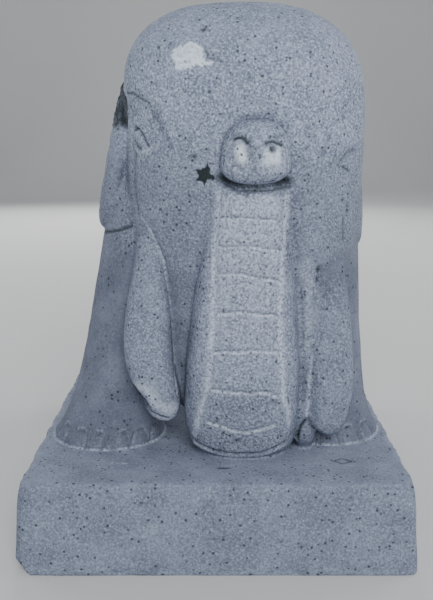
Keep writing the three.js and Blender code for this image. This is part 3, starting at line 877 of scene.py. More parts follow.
@dataclass
class Leg:
    """One leg: a column that spreads into its foot and swells into the body.

    Attributes:
        foot: the middle of the sole.
        hip: where the leg's middle line ends in the body.
        nails: where each toenail stands round the foot, and half its width, in degrees from the front.
    """

    foot: tuple[float, float]
    hip: Point
    nails: tuple[tuple[float, float], ...] = (
        (-48.0, 10.0), (-24.0, 10.0), (0.0, 10.0), (24.0, 10.0), (48.0, 10.0))
    nail_height: float = 8.0
    radius: float = 26.0
    flare: float = 9.0
    flare_height: float = 12.5
    swell: float = 11.0
    sole: float = 49.5
    round_from: float = 0.75
    closing: float = 0.9

    def surface(self) -> Surface:
        """Level circles whose middle goes straight from the foot to the hip.

        The radius is the ankle's, plus a flare that dies away up from the sole, plus a swell that grows
        with the square of the climb; past round_from it is drawn in by the root of one less the square.

        Returns:
            The surface, in millimetres.
        """
        climb, turn = rings(np.linspace(0.0, 1.0, 70), 72)
        top = self.hip[2]
        up = climb * (top - self.sole)
        past = np.maximum(0.0, (climb - self.round_from) / (1.0 - self.round_from))
        radius = self.radius + self.flare * np.exp(-up / self.flare_height) + self.swell * climb**2
        radius = radius * np.sqrt(1.0 - self.closing * past**2)
        x = self.foot[0] + climb * (self.hip[0] - self.foot[0]) + radius * np.cos(turn)
        y = self.foot[1] + climb * (self.hip[1] - self.foot[1]) + radius * np.sin(turn)
        return Surface.closed(np.stack([x, y, self.sole + up], axis=-1))

    def around(self, turn: Array, up: Array) -> list[Point]:
        """Places on the foot.

        Args:
            turn: the turns, in degrees from the front.
            up: the heights above the sole.

        Returns:
            The places, in millimetres.
        """
        radius = self.radius + self.flare * np.exp(-up / self.flare_height)
        climb = up / (self.hip[2] - self.sole)
        x = self.foot[0] + climb * (self.hip[0] - self.foot[0]) + radius * np.sin(np.radians(turn))
        y = self.foot[1] + climb * (self.hip[1] - self.foot[1]) - radius * np.cos(np.radians(turn))
        return list(zip(x, y, self.sole + up))

    def chisel(self, skin: Skin) -> None:
        """Cuts the line round the sole and an arch round each toenail.

        Args:
            skin: the stone that is cut.
        """
        turn = np.linspace(-180.0, 180.0, 73)
        skin.groove(skin.onto(self.around(turn, np.full_like(turn, 1.4))),
                    width=0.8, depth=0.9, dust=0.75)
        for middle, half in self.nails:
            swing = np.linspace(-1.0, 1.0, 15)
            arch = self.nail_height * (1.0 - np.abs(swing) ** 4) + 1.5
            line = skin.onto(self.around(middle + half * swing, arch))
            # The arches' dark lines are painted shade in their grooves, with some dirt.
            skin.groove(line, width=0.75, depth=1.2, stain=0.28)
            skin.groove(skin.onto(self.around(middle + 0.8 * half * swing, arch + 1.8)),
                        width=0.7, depth=0.0, dust=0.4)
            skin.groove(skin.onto(self.around(np.full(2, middle), np.array([3.0, 0.6 * self.nail_height]))),
                        
                        width=3.0, depth=-1.0)


@dataclass
class Tusk:
    """One tusk: a broad blade, narrow at the cheek and round at its lower end.

    Attributes:
        heights: the stations up the blade, from its tip.
        middles: where its middle line is at each.
        halves: half its width at each.
        edge: the cut line along the edge next to the trunk, as seen from the front.
        worn: how bruised its tip is.
        edge_dust: how much dust lies in that line.
        shade_lift: how much of the painted shade is taken off the front of the blade.
        broken: whether its end is broken.
        widest_half: half the width at which the blade is thickest.
        half_depth: half its thickness there.
        squareness: how full its sections are.
        tip_depth: where its middle line is at the tip, from front to back.
        turn_depth: where the middle line is drawn to on the way.
        top_depth: where it ends at the cheek.
    """

    heights: tuple[float, ...]
    middles: tuple[float, ...]
    halves: tuple[float, ...]
    edge: Line
    worn: float
    edge_dust: float = 0.75
    shade_lift: float = 0.35
    broken: bool = False
    widest_half: float = 13.5
    half_depth: float = 13.0
    squareness: float = 2.6
    tip_depth: float = -88.0
    turn_depth: float = -92.5
    top_depth: float = -75.0

    def surface(self) -> Surface:
        """Level rounded sections, whose middle and width follow the height.

        From the tip to the top the middle line bows forward; the thickness is the width's share of the
        widest, raised to 0.6.

        Returns:
            The surface, in millimetres.
        """
        along, turn = rings((1.0 - np.cos(np.linspace(0.0, 1.0, 70) * np.pi)) / 2.0, 48)
        height = self.heights[0] + along * (self.heights[-1] - self.heights[0])
        half = through_stations(height, self.heights, self.halves)
        depth = self.half_depth * (np.maximum(half, 0.4) / self.widest_half) ** 0.6
        bow = ((1 - along) ** 2 * self.tip_depth + 2 * along * (1 - along) * self.turn_depth
               + along**2 * self.top_depth)
        power = 2.0 / self.squareness
        x = through_stations(height, self.heights, self.middles) + half * signed_power(np.cos(turn), power)
        y = bow + depth * signed_power(np.sin(turn), power)
        return Surface.closed(np.stack([x, y, height], axis=-1))

    def chisel(self, skin: Skin) -> None:
        """Lifts the painted shade off the front of the blade, cuts the line along its edge next to the trunk
        and bruises the tip.

        Args:
            skin: the stone that is cut.
        """
        x, y, z = skin.points.T
        inward = (np.interp(z, self.heights, self.halves, 0.0, 0.0)
                  - np.abs(x - np.interp(z, self.heights, self.middles)))
        # The blade standing in front gets less painted shade than the stone round it.
        skin.grime *= 1.0 - self.shade_lift * smooth_step(inward, -1.0, 2.0) * (y < -86.0)
        skin.score(self.edge, width=0.85, depth=1.3, dust=self.edge_dust)
        tip = np.array([self.middles[1], self.tip_depth - 6.0, self.heights[0]])
        near = bell(np.linalg.norm(skin.points - tip, axis=1), 8.0)
        skin.scuff = np.maximum(skin.scuff, 0.45 * near * self.worn)
        skin.sink += self.worn * near * (0.5 + 0.8 * lattice_noise(skin.points, 3.0, 21))
        skin.detail = np.maximum(skin.detail, 0.8 * near)
        if self.broken:
            skin.chip((-41.5, -95.0, 84.5), (-0.8, -0.2, -0.55), reach=9.0, rough=0.7)
            crack = [(-45.1, -95.3, 88.7), (-39.9, -98.3, 83.3), (-37.3, -97.1, 77.0), (-31.8, -97.2, 74.1),
                     (-27.3, -95.9, 73.0)]
            # The crack's dark line is painted shade in it, with some dirt.
            skin.groove(skin.onto(crack), width=0.8, depth=0.9, stain=0.85)
            skin.groove(skin.onto([(x + 4.0, y, z + 4.5) for x, y, z in crack]),
                        width=3.4, depth=0.1, scuff=0.38)


@dataclass
class Ear:
    """One ear: a flap hung from its front upper corner, which stands off the neck behind and below."""

    side: Side
    root: Point
    lean: float
    outline: Line
    torn: bool = False
    thickness: float = 13.0
    spread: float = 0.1
    inner_share: float = 0.78
    folds: tuple[tuple[tuple[float, float], ...], ...] = (
        ((14.0, -12.0), (40.0, -14.0), (58.0, -24.0)),
        ((14.0, -28.0), (36.0, -36.0), (50.0, -46.0)))

    def surface(self) -> Surface:
        """The outline drawn in towards its middle as the thickness rounds off.

        Across the thickness a rise runs from one face to the other; the outline is scaled by its cosine
        and the thickness by its sine, each raised to a power below one, so that the edge is full.

        Returns:
            The surface, in millimetres.
        """
        curve = closed_curve(self.outline, 160)
        middle = curve.mean(axis=0)
        rise = np.linspace(-0.49, 0.49, 40)[:, None] * np.pi
        reach = np.cos(rise) ** 0.35
        flap = middle + (curve[None, :, :] - middle) * reach[..., None]
        out = self.thickness / 2.0 * signed_power(np.sin(rise), 0.8) * np.ones(len(curve))
        x = out + self.side.value * (self.spread * flap[..., 0] - self.lean * flap[..., 1])
        return Surface.closed(np.stack([x, flap[..., 0], flap[..., 1]], axis=-1) + np.array(self.root))

    def chisel(self, skin: Skin) -> None:
        """Cuts a line inside the ear's edge and two folds across it.

        Args:
            skin: the stone that is cut.
        """
        view = View.LEFT if self.side is Side.LEFT else View.RIGHT
        curve = closed_curve(self.outline, 60)
        middle = curve.mean(axis=0)
        inner = middle + (curve - middle) * self.inner_share + np.array(self.root[1:])
        skin.groove(skin.seen(view, [tuple(point) for point in np.concatenate([inner, inner[:1]])]),
                    width=1.0, depth=0.8,
                    dust=0.4)
        for fold in self.folds:
            line = [(self.root[1] + y, self.root[2] + z) for y, z in fold]
            skin.groove(skin.seen(view, line), width=2.4, depth=0.9)
        if self.torn:
            self._tear(skin)
            bottom = [(-67.5, -48.0, 171.2), (-66.2, -51.4, 171.6), (-60.5, -61.0, 172.8),
                      (-55.2, -67.6, 174.8), (-48.4, -72.5, 177.8)]
            # The dark line under the ear is painted shade in its groove, with some dirt.
            skin.groove(skin.onto(bottom), width=0.85, depth=1.5, stain=0.85)

    def _tear(self, skin: Skin) -> None:
        """The rough, dark break along the upper lobe.

        Args:
            skin: the stone that is cut.
        """
        lobe = (skin.points[:, 0] < -49.5) & (skin.points[:, 1] < -22.0) & (skin.points[:, 2] > 231.0)
        lobe &= skin.points[:, 0] + 0.3 * (skin.points[:, 2] - 240.0) < -47.0
        share = lobe * smooth_step(skin.points[:, 2], 230.0, 234.0)
        streaks = lattice_noise(skin.points * np.array([2.0, 1.0, 0.5]), 3.0, 31)
        skin.stain = np.maximum(skin.stain, share * (0.9 + 0.35 * streaks))
        skin.sink += share * 0.9 * lattice_noise(skin.points, 3.2, 32)


@dataclass
class Tail:
    """The tail, carved against the rump."""

    line: list[Point] = field(default_factory=lambda: [
        (7.5, 103.0, 232.0), (7.8, 118.0, 205.0), (8.8, 122.0, 180.0), (10.5, 118.0, 155.0),
        (12.5, 109.0, 134.0)])
    radius: float = 6.0
    tuft_half: Point = (9.0, 7.5, 15.5)

    def surfaces(self) -> list[Surface]:
        """A round bar along a smooth line, thinner towards its end, and the tuft.

        Returns:
            The two surfaces, in millimetres.
        """
        knots = np.array(self.line)
        stations = np.arange(len(knots))
        place = np.linspace(0.0, len(knots) - 1.0, 50)
        path = np.stack([np.interp(place, stations, knots[:, axis]) for axis in range(3)], axis=-1)
        for _ in range(6):
            path[1:-1] = (path[:-2] + 2.0 * path[1:-1] + path[2:]) / 4.0
        row, turn = rings(np.arange(len(path)), 24)
        radius = self.radius * (1.0 - 0.35 * row / len(path))
        centre = path[row.astype(int)]
        offset = np.stack([radius * np.cos(turn), radius * np.sin(turn), np.zeros_like(turn)], axis=-1)
        return [Surface.closed(centre + offset), pebble(self.line[-1], self.tuft_half, 2.0)]


@dataclass
class Plinth:
    """The plinth: a block whose sides lean in, with a worn top edge and one broken corner."""

    width: float
    depth: float
    height: float = 50.0
    lean: float = 3.5
    edge_round: float = 3.5
    corner_radius: float = 6.0
    margin: float = 0.85

    def surface(self) -> Surface:
        """Level rounded rectangles, drawn in at the underside's edge and round the top edge.

        Returns:
            The surface, in millimetres.
        """
        bend = np.linspace(0.0, np.pi / 2.0, 8)
        heights = np.concatenate([[0.0, 0.6], self.height - self.edge_round * (1.0 - np.sin(bend))])
        insets = np.concatenate([[0.9, 0.15], self.edge_round * (1.0 - np.cos(bend))])
        insets = insets + self.margin + self.lean * heights / self.height
        quarter = np.linspace(0.0, np.pi / 2.0, 9)
        turn = np.concatenate([quarter + corner * np.pi / 2.0 for corner in range(4)])
        side_x = np.repeat([1.0, -1.0, -1.0, 1.0], len(quarter))
        side_y = np.repeat([1.0, 1.0, -1.0, -1.0], len(quarter))
        half_x = self.width / 2.0 - insets[:, None] - self.corner_radius
        half_y = self.depth / 2.0 - insets[:, None] - self.corner_radius
        x = half_x * side_x + self.corner_radius * np.cos(turn)
        y = half_y * side_y + self.corner_radius * np.sin(turn)
        z = np.repeat(heights[:, None], len(turn), axis=1)
        return Surface.closed(np.stack([x, y, z], axis=-1))

    def chisel(self, skin: Skin) -> None:
        """Breaks the corner, wears the edges unevenly and leaves the marks on the top.

        Args:
            skin: the stone that is cut.
        """
        side, front = self.width / 2.0, self.depth / 2.0
        skin.chip((-side + 6.5, -front + 5.0, 2.5), (-1.0, -0.55, -0.8), reach=26.0, rough=0.7)
        skin.chip((side - 7.4, -front + 7.0, self.height - 2.5), (1.0, -0.6, 0.7), reach=12.0, rough=0.4)
        x, y, z = skin.points.T
        to_side = np.minimum(side - np.abs(x), front - np.abs(y))
        low_edge = bell(to_side, 4.0) * bell(z, 4.0) * (z > UNDERSIDE)
        top_edge = bell(to_side - self.lean, 4.5) * bell(z - self.height, 4.5)
        wear = np.maximum(0.0, lattice_noise(skin.points, 9.0, 41))
        wear = wear + 0.4 * lattice_noise(skin.points, 4.0, 42)
        skin.sink += (2.6 * low_edge + 1.6 * top_edge) * wear
        top = self.height
        # The dark mark and the lozenge's line are painted shade in their grooves, with some dirt.
        skin.groove(skin.onto([(1.5, -114.2, top), (6.3, -114.0, top)]), width=1.4, depth=0.8, stain=0.85)
        lozenge = [(65.1, -105.5, top), (70.1, -101.9, top), (75.1, -105.5, top), (70.0, -109.0, top),
                   (65.1, -105.5, top)]
        skin.groove(skin.onto(lozenge), width=0.75, depth=0.5, stain=0.75)
        for start, end, y in ((-59.0, -55.0, -108.0), (-53.0, -50.0, -108.2)):
            skin.groove(skin.onto([(start, y, top), (end, y, top)]), width=0.7, depth=0.2, dust=0.6)


@dataclass(frozen=True)
class VolcanicStone:
    """Bluish-grey volcanic stone, dressed with a chisel: dark pores, light grains, dust and stains, and
    painted shade laid from the skin's marks.

    Attributes:
        name: the material's name.
        pale: the stone itself where it is lightest.
        deep: the stone itself where it is darkest.
        pore: the pores.
        grain: the light grains.
        dust: whitish dust from the chisel.
        bruise: bruised stone.
        stain: dark growth and dirt, and painted shade in grooves and holes.
        shaded_share: how much of its brightness the stone keeps under full painted shade.
        roughness: how matt it is.
        shine: how much it mirrors.
        cloud_cells: how many clouds of tone go into a metre.
        mottle_cells: how many cells of fine grain do.
        grain_cells: how many cells for light grains do.
        pore_cells: how many cells for pores do.
        dust_cells: how many patches of dust do.
        rough_cells: how many coarse bumps do.
        bump_strength: how strongly the bumps show, from 0 to 1.
        bump_height: how high they are, in metres.
    """

    name: str = "volcanic_stone"
    pale: Colour = (0.272, 0.312, 0.412)
    deep: Colour = (0.2, 0.231, 0.31)
    pore: Colour = (0.036, 0.046, 0.064)
    grain: Colour = (0.52, 0.60, 0.74)
    dust: Colour = (0.67, 0.74, 0.87)
    bruise: Colour = (0.79, 0.88, 1.0)
    stain: Colour = (0.010, 0.017, 0.016)
    shaded_share: float = 0.5
    roughness: float = 0.93
    shine: float = 0.25
    cloud_cells: float = 60.0
    mottle_cells: float = 800.0
    grain_cells: float = 900.0
    pore_cells: float = 560.0
    dust_cells: float = 680.0
    rough_cells: float = 330.0
    bump_strength: float = 0.55
    bump_height: float = 0.0006

    def build(self) -> bpy.types.Material:
        """The material's nodes, from the object's own coordinates and the skin's marks.

        Returns:
            The material.
        """
        material = bpy.data.materials.new(self.name)
        material.use_nodes = True
        tree = material.node_tree
        shader = tree.nodes["Principled BSDF"]
        shader.inputs["Roughness"].default_value = self.roughness
        shader.inputs["Specular IOR Level"].default_value = self.shine
        place = tree.nodes.new("ShaderNodeTexCoord").outputs["Object"]
        rubbed = self._math(tree, "MULTIPLY", self._mark(tree, "calm"), 0.75)
        crisp = self._math(tree, "SUBTRACT", 1.0, rubbed)
        clouds = self._noise(tree, place, self.cloud_cells, 3.0)
        colour = self._mix(tree, clouds, self.deep, self.pale, 0.35, 0.65)
        colour = self._blend(tree, colour, self.bruise, self._mark(tree, "scuff"), 0.95)
        mottle = self._noise(tree, place, self.mottle_cells, 2.0)
        light = self._math(tree, "MULTIPLY", self._ramp(tree, mottle, 0.5, 0.72), crisp)
        dark = self._math(tree, "MULTIPLY", self._ramp(tree, mottle, 0.5, 0.26), crisp)
        colour = self._blend(tree, colour, self.grain, light, 0.75)
        colour = self._blend(tree, colour, self.pore, dark, 0.7)
        grains = self._math(tree, "MULTIPLY", self._cells(tree, place, self.grain_cells, 0.8, 0.86), crisp)
        colour = self._blend(tree, colour, self.grain, grains, 0.8)
        pores = self._cells(tree, place, self.pore_cells, 0.09, 0.04)
        colour = self._blend(tree, colour, self.pore, pores, 0.85)
        patchy = self._ramp(tree, self._noise(tree, place, self.dust_cells, 3.0), 0.4, 0.6)
        powder = self._math(tree, "MULTIPLY", self._mark(tree, "dust"), patchy)
        colour = self._blend(tree, colour, self.dust, powder, 0.95)
        # Painted shade from the skin's mark darkens the colour.
        colour = self._paint_shade(tree, colour, self._mark(tree, "grime"))
        # Dark growth and dirt, and painted shade in grooves and holes.
        colour = self._blend(tree, colour, self.stain, self._mark(tree, "stain"), 0.95)
        tree.links.new(colour, shader.inputs["Base Color"])
        self._relief(tree, place, pores, mottle, shader)
        return material

    def _relief(self, tree: bpy.types.NodeTree, place: bpy.types.NodeSocket, pores: bpy.types.NodeSocket,
                mottle: bpy.types.NodeSocket, shader: bpy.types.Node) -> None:
        """Adds bumps from the grain, the pores and a coarser roughness.

        Args:
            tree: the material's nodes.
            place: the coordinates.
            pores: where the dark pores are.
            mottle: the fine grain.
            shader: the shader that gets the bumps.
        """
        coarse = self._noise(tree, place, self.rough_cells, 3.0)
        add = self._math(tree, "ADD", mottle, coarse)
        height = self._math(tree, "SUBTRACT", add, pores)
        bump = tree.nodes.new("ShaderNodeBump")
        bump.inputs["Strength"].default_value = self.bump_strength
        bump.inputs["Distance"].default_value = self.bump_height
        tree.links.new(height, bump.inputs["Height"])
        tree.links.new(bump.outputs["Normal"], shader.inputs["Normal"])

    @staticmethod
    def _noise(tree: bpy.types.NodeTree, place: bpy.types.NodeSocket, scale: float,
               detail: float) -> bpy.types.NodeSocket:
        """A noise texture's value.

        Args:
            tree: the material's nodes.
            place: the coordinates.
            scale: how many cells go into a metre.
            detail: how many finer layers it has.

        Returns:
            The value, about 0.5 on average.
        """
        node = tree.nodes.new("ShaderNodeTexNoise")
        node.inputs["Scale"].default_value = scale
        node.inputs["Detail"].default_value = detail
        node.inputs["Roughness"].default_value = 0.6
        tree.links.new(place, node.inputs["Vector"])
        return node.outputs["Fac"]

    @staticmethod
    def _math(tree: bpy.types.NodeTree, operation: str, first: Value, second: Value) -> bpy.types.NodeSocket:
        """One arithmetic step.

        Args:
            tree: the material's nodes.
            operation: the step's name.
            first: a socket or a number.
            second: a socket or a number.

        Returns:
            The result.
        """
        node = tree.nodes.new("ShaderNodeMath")
        node.operation = operation
        for index, value in enumerate((first, second)):
            if isinstance(value, float):
                node.inputs[index].default_value = value
            else:
                tree.links.new(value, node.inputs[index])
        return node.outputs["Value"]

    @staticmethod
    def _ramp(tree: bpy.types.NodeTree, value: bpy.types.NodeSocket, low: float,
              high: float) -> bpy.types.NodeSocket:
        """A value taken to 0 at low and 1 at high.

        Args:
            tree: the material's nodes.
            value: the value.
            low: what becomes 0.
            high: what becomes 1.

        Returns:
            The value between 0 and 1.
        """
        node = tree.nodes.new("ShaderNodeMapRange")
        node.inputs["From Min"].default_value = low
        node.inputs["From Max"].default_value = high
        tree.links.new(value, node.inputs["Value"])
        return node.outputs["Result"]

    def _cells(self, tree: bpy.types.NodeTree, place: bpy.types.NodeSocket, scale: float, low: float,
               high: float) -> bpy.types.NodeSocket:
        """Round specks in the few cells whose random value passes a limit.

        Args:
            tree: the material's nodes.
            place: the coordinates.
            scale: how many cells go into a metre.
            low: the random value at which specks begin.
            high: the random value at which they are full.

        Returns:
            1 in a speck and 0 outside.
        """
        node = tree.nodes.new("ShaderNodeTexVoronoi")
        node.inputs["Scale"].default_value = scale
        tree.links.new(place, node.inputs["Vector"])
        part = tree.nodes.new("ShaderNodeSeparateColor")
        tree.links.new(node.outputs["Color"], part.inputs["Color"])
        chosen = self._ramp(tree, part.outputs["Red"], low, high)
        round_off = self._ramp(tree, node.outputs["Distance"], 0.5, 0.3)
        return self._math(tree, "MULTIPLY", chosen, round_off)

    def _mix(self, tree: bpy.types.NodeTree, factor: bpy.types.NodeSocket, low: Colour, high: Colour,
             start: float, end: float) -> bpy.types.NodeSocket:
        """One colour going into another.

        Args:
            tree: the material's nodes.
            factor: the value that decides.
            low: the colour where it is at start or below.
            high: the colour where it is at end or above.
            start: where the change begins.
            end: where it ends.

        Returns:
            The colour.
        """
        node = tree.nodes.new("ShaderNodeMix")
        node.data_type = "RGBA"
        tree.links.new(self._ramp(tree, factor, start, end), node.inputs["Factor"])
        node.inputs["A"].default_value = (*low, 1.0)
        node.inputs["B"].default_value = (*high, 1.0)
        return node.outputs["Result"]

    def _blend(self, tree: bpy.types.NodeTree, colour: bpy.types.NodeSocket, over: Colour,
               factor: bpy.types.NodeSocket, strength: float) -> bpy.types.NodeSocket:
        """Lays a colour over another.

        Args:
            tree: the material's nodes.
            colour: the colour below.
            over: the colour laid on it.
            factor: where it lies, from 0 to 1.
            strength: how well it covers at most.

        Returns:
            The colour.
        """
        node = tree.nodes.new("ShaderNodeMix")
        node.data_type = "RGBA"
        tree.links.new(self._math(tree, "MULTIPLY", factor, strength), node.inputs["Factor"])
        tree.links.new(colour, node.inputs["A"])
        node.inputs["B"].default_value = (*over, 1.0)
        return node.outputs["Result"]

    def _paint_shade(self, tree: bpy.types.NodeTree, colour: bpy.types.NodeSocket,
                factor: bpy.types.NodeSocket) -> bpy.types.NodeSocket:
        """Multiplies a colour by the share that it keeps under painted shade.

        Args:
            tree: the material's nodes.
            colour: the colour.
            factor: how much painted shade falls there, from 0 to 1.

        Returns:
            The colour.
        """
        node = tree.nodes.new("ShaderNodeMix")
        node.data_type = "RGBA"
        node.blend_type = "MULTIPLY"
        tree.links.new(factor, node.inputs["Factor"])
        tree.links.new(colour, node.inputs["A"])
        node.inputs["B"].default_value = (self.shaded_share, self.shaded_share, 1.02 * self.shaded_share, 1.0)
        return node.outputs["Result"]

    @staticmethod
    def _mark(tree: bpy.types.NodeTree, name: str) -> bpy.types.NodeSocket:
        """The value of one of the skin's marks.

        Args:
            tree: the material's nodes.
            name: the mark's name.

        Returns:
            The value, from 0 to 1.
        """
        node = tree.nodes.new("ShaderNodeAttribute")
        node.attribute_name = name
        return node.outputs["Fac"]


@dataclass
class Body:
    """The body: the belly and back, and the shoulders in front of them."""

    back_centre: Point = (7.5, 32.5, 182.5)
    back_half: Point = (72.5, 87.5, 80.0)
    shoulders_centre: Point = (9.0, -32.5, 175.0)
    shoulders_half: Point = (62.5, 47.5, 72.5)
    squareness: float = 2.4

    def surfaces(self) -> list[Surface]:
        """The two full ellipsoids.

        Returns:
            The surfaces, in millimetres.
        """
        return [pebble(self.back_centre, self.back_half, self.squareness),
                pebble(self.shoulders_centre, self.shoulders_half, self.squareness)]


@dataclass(frozen=True)
class PaintedShadeAndCalm:
    """Painted shade, none on the forehead and growing down to the feet and the plinth, and where the stone's
    grain is rubbed smooth.

    Attributes:
        face: the painted shade low on the face, from 0 to 1.
        legs: the painted shade on the legs and the belly.
        trunk: the painted shade on the front of the trunk.
        trunk_foot: the painted shade at its foot.
        plinth_sides: the painted shade on the plinth's sides.
        plinth_top: the painted shade on its top.
        plinth_height: how high the plinth is, in millimetres.
    """

    face: float = 0.5
    legs: float = 0.9
    trunk: float = 0.15
    trunk_foot: float = 0.6
    plinth_sides: float = 0.5
    plinth_top: float = 0.3
    plinth_height: float = 50.0

    def lay(self, skin: Skin) -> None:
        """Sets the painted shade and the calm of each point by its place: ramps in height and depth.

        Args:
            skin: the stone that is darkened.
        """
        x, y, z = skin.points.T
        # Painted shade: darker down the face, behind the trunk and tusks under the head and at the trunk's
        # foot; the trunk's front stays lighter.
        down = smooth_step(240.0 - z, 0.0, 40.0)
        front = smooth_step(-y, 100.0, 108.0) * (z < 242.0)
        trunk = self.trunk + (self.trunk_foot - self.trunk) * smooth_step(115.0 - z, 0.0, 40.0)
        face = self.face * down + 0.1 * down * smooth_step(-x, -2.0, 12.0)
        behind = smooth_step(y, -98.0, -84.0) * smooth_step(190.0 - z, 0.0, 45.0)
        grime = face + front * (trunk - face)
        grime = grime + behind * (self.legs - grime)
        crown = 0.4 * smooth_step(z, 255.0, 285.0)
        calm = np.maximum(np.maximum(0.95 * behind, crown), 0.3 * down * (1.0 - front))
        ears = smooth_step(np.abs(x - 12.0), 60.0, 68.0) * smooth_step(y, -78.0, -66.0)
        calm = np.maximum(calm, 0.6 * ears * smooth_step(250.0 - z, 0.0, 20.0))
        plinth = z < self.plinth_height + UNDERSIDE
        level = skin.normals[:, 2] > 0.7
        # The plinth's top and sides get their own painted shade.
        grime = np.where(plinth, np.where(level, self.plinth_top, self.plinth_sides), grime)
        calm = np.where(plinth, np.where(level, 0.8, 0.55), calm)
        uneven = 1.0 + 0.2 * lattice_noise(skin.points, 22.0, 51)
        uneven = uneven + 0.12 * lattice_noise(skin.points, 7.0, 52)
        skin.grime = np.clip(grime * uneven, 0.0, 1.0)
        skin.calm = calm


@dataclass
class Elephant:
    """The whole carving: its forms, and the one skin that they are fused into."""

    plinth: Plinth
    head: Head = field(default_factory=Head)
    body: Body = field(default_factory=Body)
    trunk: Trunk = field(default_factory=Trunk)
    tail: Tail = field(default_factory=Tail)
    painted_shade_and_calm: PaintedShadeAndCalm = field(default_factory=PaintedShadeAndCalm)
    legs: list[Leg] = field(default_factory=lambda: [
        Leg((-65.5, -58.0), (-22.0, -37.5, 230.0),
            nails=((-58.0, 11.0), (-31.0, 12.0), (-9.0, 7.0), (18.0, 8.0), (38.0, 11.0), (62.0, 10.0))),
        Leg((66.5, -50.0), (49.0, -36.0, 230.0), radius=25.8),
        Leg((-61.0, 84.0), (-25.0, 62.5, 200.0), radius=27.0),
        Leg((67.0, 84.0), (40.0, 62.5, 200.0), radius=27.0),
    ])
    tusks: list[Tusk] = field(default_factory=lambda: [
        Tusk(heights=(69.5, 71.5, 75.0, 82.8, 99.5, 117.5, 140.0, 160.0, 178.0, 190.0),
             middles=(-29.2, -29.3, -30.0, -31.9, -37.0, -38.2, -37.7, -37.3, -39.4, -41.5),
             halves=(4.5, 7.2, 9.3, 11.4, 13.5, 13.6, 11.4, 8.5, 3.8, 0.8),
             edge=[(-41.6, 184.3), (-37.6, 179.5), (-34.4, 173.4), (-31.5, 166.6), (-28.8, 160.0),
                   (-26.3, 139.8), (-25.0, 124.1), (-24.4, 114.0), (-23.6, 99.0), (-21.6, 86.0)],
             worn=1.0, broken=True),
        Tusk(heights=(59.5, 61.5, 65.0, 73.8, 100.0, 116.0, 131.0, 146.5, 160.0, 175.0),
             middles=(64.0, 63.8, 63.3, 64.0, 64.5, 64.5, 64.5, 65.0, 66.5, 67.5),
             halves=(1.5, 5.0, 8.5, 10.8, 12.5, 11.6, 10.2, 7.8, 4.5, 0.8),
             edge=[(57.0, 146.0), (54.4, 131.0), (53.2, 116.0), (52.8, 104.0)],
             worn=0.4, edge_dust=0.3, shade_lift=0.0),
    ])
    ears: list[Ear] = field(default_factory=lambda: [
        Ear(Side.LEFT, (-52.0, -65.5, 233.8), 0.2,
            [(0, 0), (18, 4), (27, 22), (45, 28), (66, 16), (78, -16), (68, -50), (44, -60), (12, -57),
             (0, -30)],
            torn=True),
        Ear(Side.RIGHT, (76.0, -62.5, 222.5), 0.08,
            [(0, 0), (22, 8), (50, 8), (70, -6), (78, -24), (68, -50), (44, -60), (12, -57), (0, -30)]),
    ])

    def masses(self) -> list[Surface]:
        """The big forms, which flow into each other: head, body, the trunk's root and the legs.

        Returns:
            The surfaces, in millimetres.
        """
        return [
            self.head.surface(),
            *self.body.surfaces(),
            self.trunk.root(),
            *(leg.surface() for leg in self.legs),
        ]

    def details(self) -> list[Surface]:
        """The forms that stand off the big ones with a clear edge.

        Returns:
            The surfaces, in millimetres.
        """
        return [
            self.trunk.rising(),
            self.trunk.web(),
            self.trunk.tip(),
            *(tusk.surface() for tusk in self.tusks),
            *(ear.surface() for ear in self.ears),
            *self.tail.surfaces(),
            self.plinth.surface(),
        ]

    def build(self) -> bpy.types.Object:
        """Fuses the forms, lays the painted shade and the calm on the skin, chisels it and thins its mesh.

        Returns:
            The finished skin as one object.
        """
        masses = fuse("masses", self.masses(), [], Cell.MASSES.value, smoothing=14)
        LOG.info("masses: %d points", len(masses.data.vertices))
        piece = fuse("carved_elephant", self.details(), [masses], Cell.SKIN.value, smoothing=2)
        LOG.info("skin: %d points", len(piece.data.vertices))
        skin = Skin.of(piece)
        waves, dimples = lattice_noise(skin.points, 17.0, 1), lattice_noise(skin.points, 6.0, 2)
        skin.sink += 0.35 * waves + 0.16 * dimples
        # Lays the painted shade and the calm.
        self.painted_shade_and_calm.lay(skin)
        for part in (self.plinth, self.head, self.trunk, *self.tusks, *self.ears, *self.legs):
            part.chisel(skin)
            LOG.info("chiselled: %s", type(part).__name__)
        skin.apply(piece)
        thin_out(piece, MOST_TRIANGLES)
        piece.data.shade_smooth()
        return piece


def read_points(mesh: bpy.types.Mesh) -> tuple[Array, Array]:
    """A mesh's points and their normals.

    Args:
        mesh: the mesh, in metres.

    Returns:
        The points in millimetres and the normals, one a row.
    """
    count = len(mesh.vertices)
    points = np.empty(count * 3, dtype=np.float32)
    normals = np.empty(count * 3, dtype=np.float32)
    mesh.vertices.foreach_get("co", points)
    mesh.vertex_normals.foreach_get("vector", normals)
    return points.reshape(-1, 3).astype(float) / MM, normals.reshape(-1, 3).astype(float)


def put_mesh(name: str, surfaces: list[Surface]) -> bpy.types.Object:
    """Puts some closed surfaces into one mesh object, in metres.

    Args:
        name: the object's name.
        surfaces: the surfaces, in millimetres.

    Returns:
        The object, linked to the scene.
    """
    points, faces, start = [], [], 0
    for surface in surfaces:
        points.append(surface.points * MM)
        faces.extend(tuple(index + start for index in face) for face in surface.faces)
        start += len(surface.points)
    mesh = bpy.data.meshes.new(name)
    mesh.from_pydata(np.concatenate(points).tolist(), [], faces)
    mesh.update()
    placed = bpy.data.objects.new(name, mesh)
    bpy.context.scene.collection.objects.link(placed)
    return placed


def apply_modifiers(piece: bpy.types.Object) -> None:
    """Takes the result of a piece's modifiers as its mesh.

    Args:
        piece: the object.
    """
    evaluated = piece.evaluated_get(bpy.context.evaluated_depsgraph_get())
    mesh = bpy.data.meshes.new_from_object(evaluated)
    piece.modifiers.clear()
    piece.data = mesh


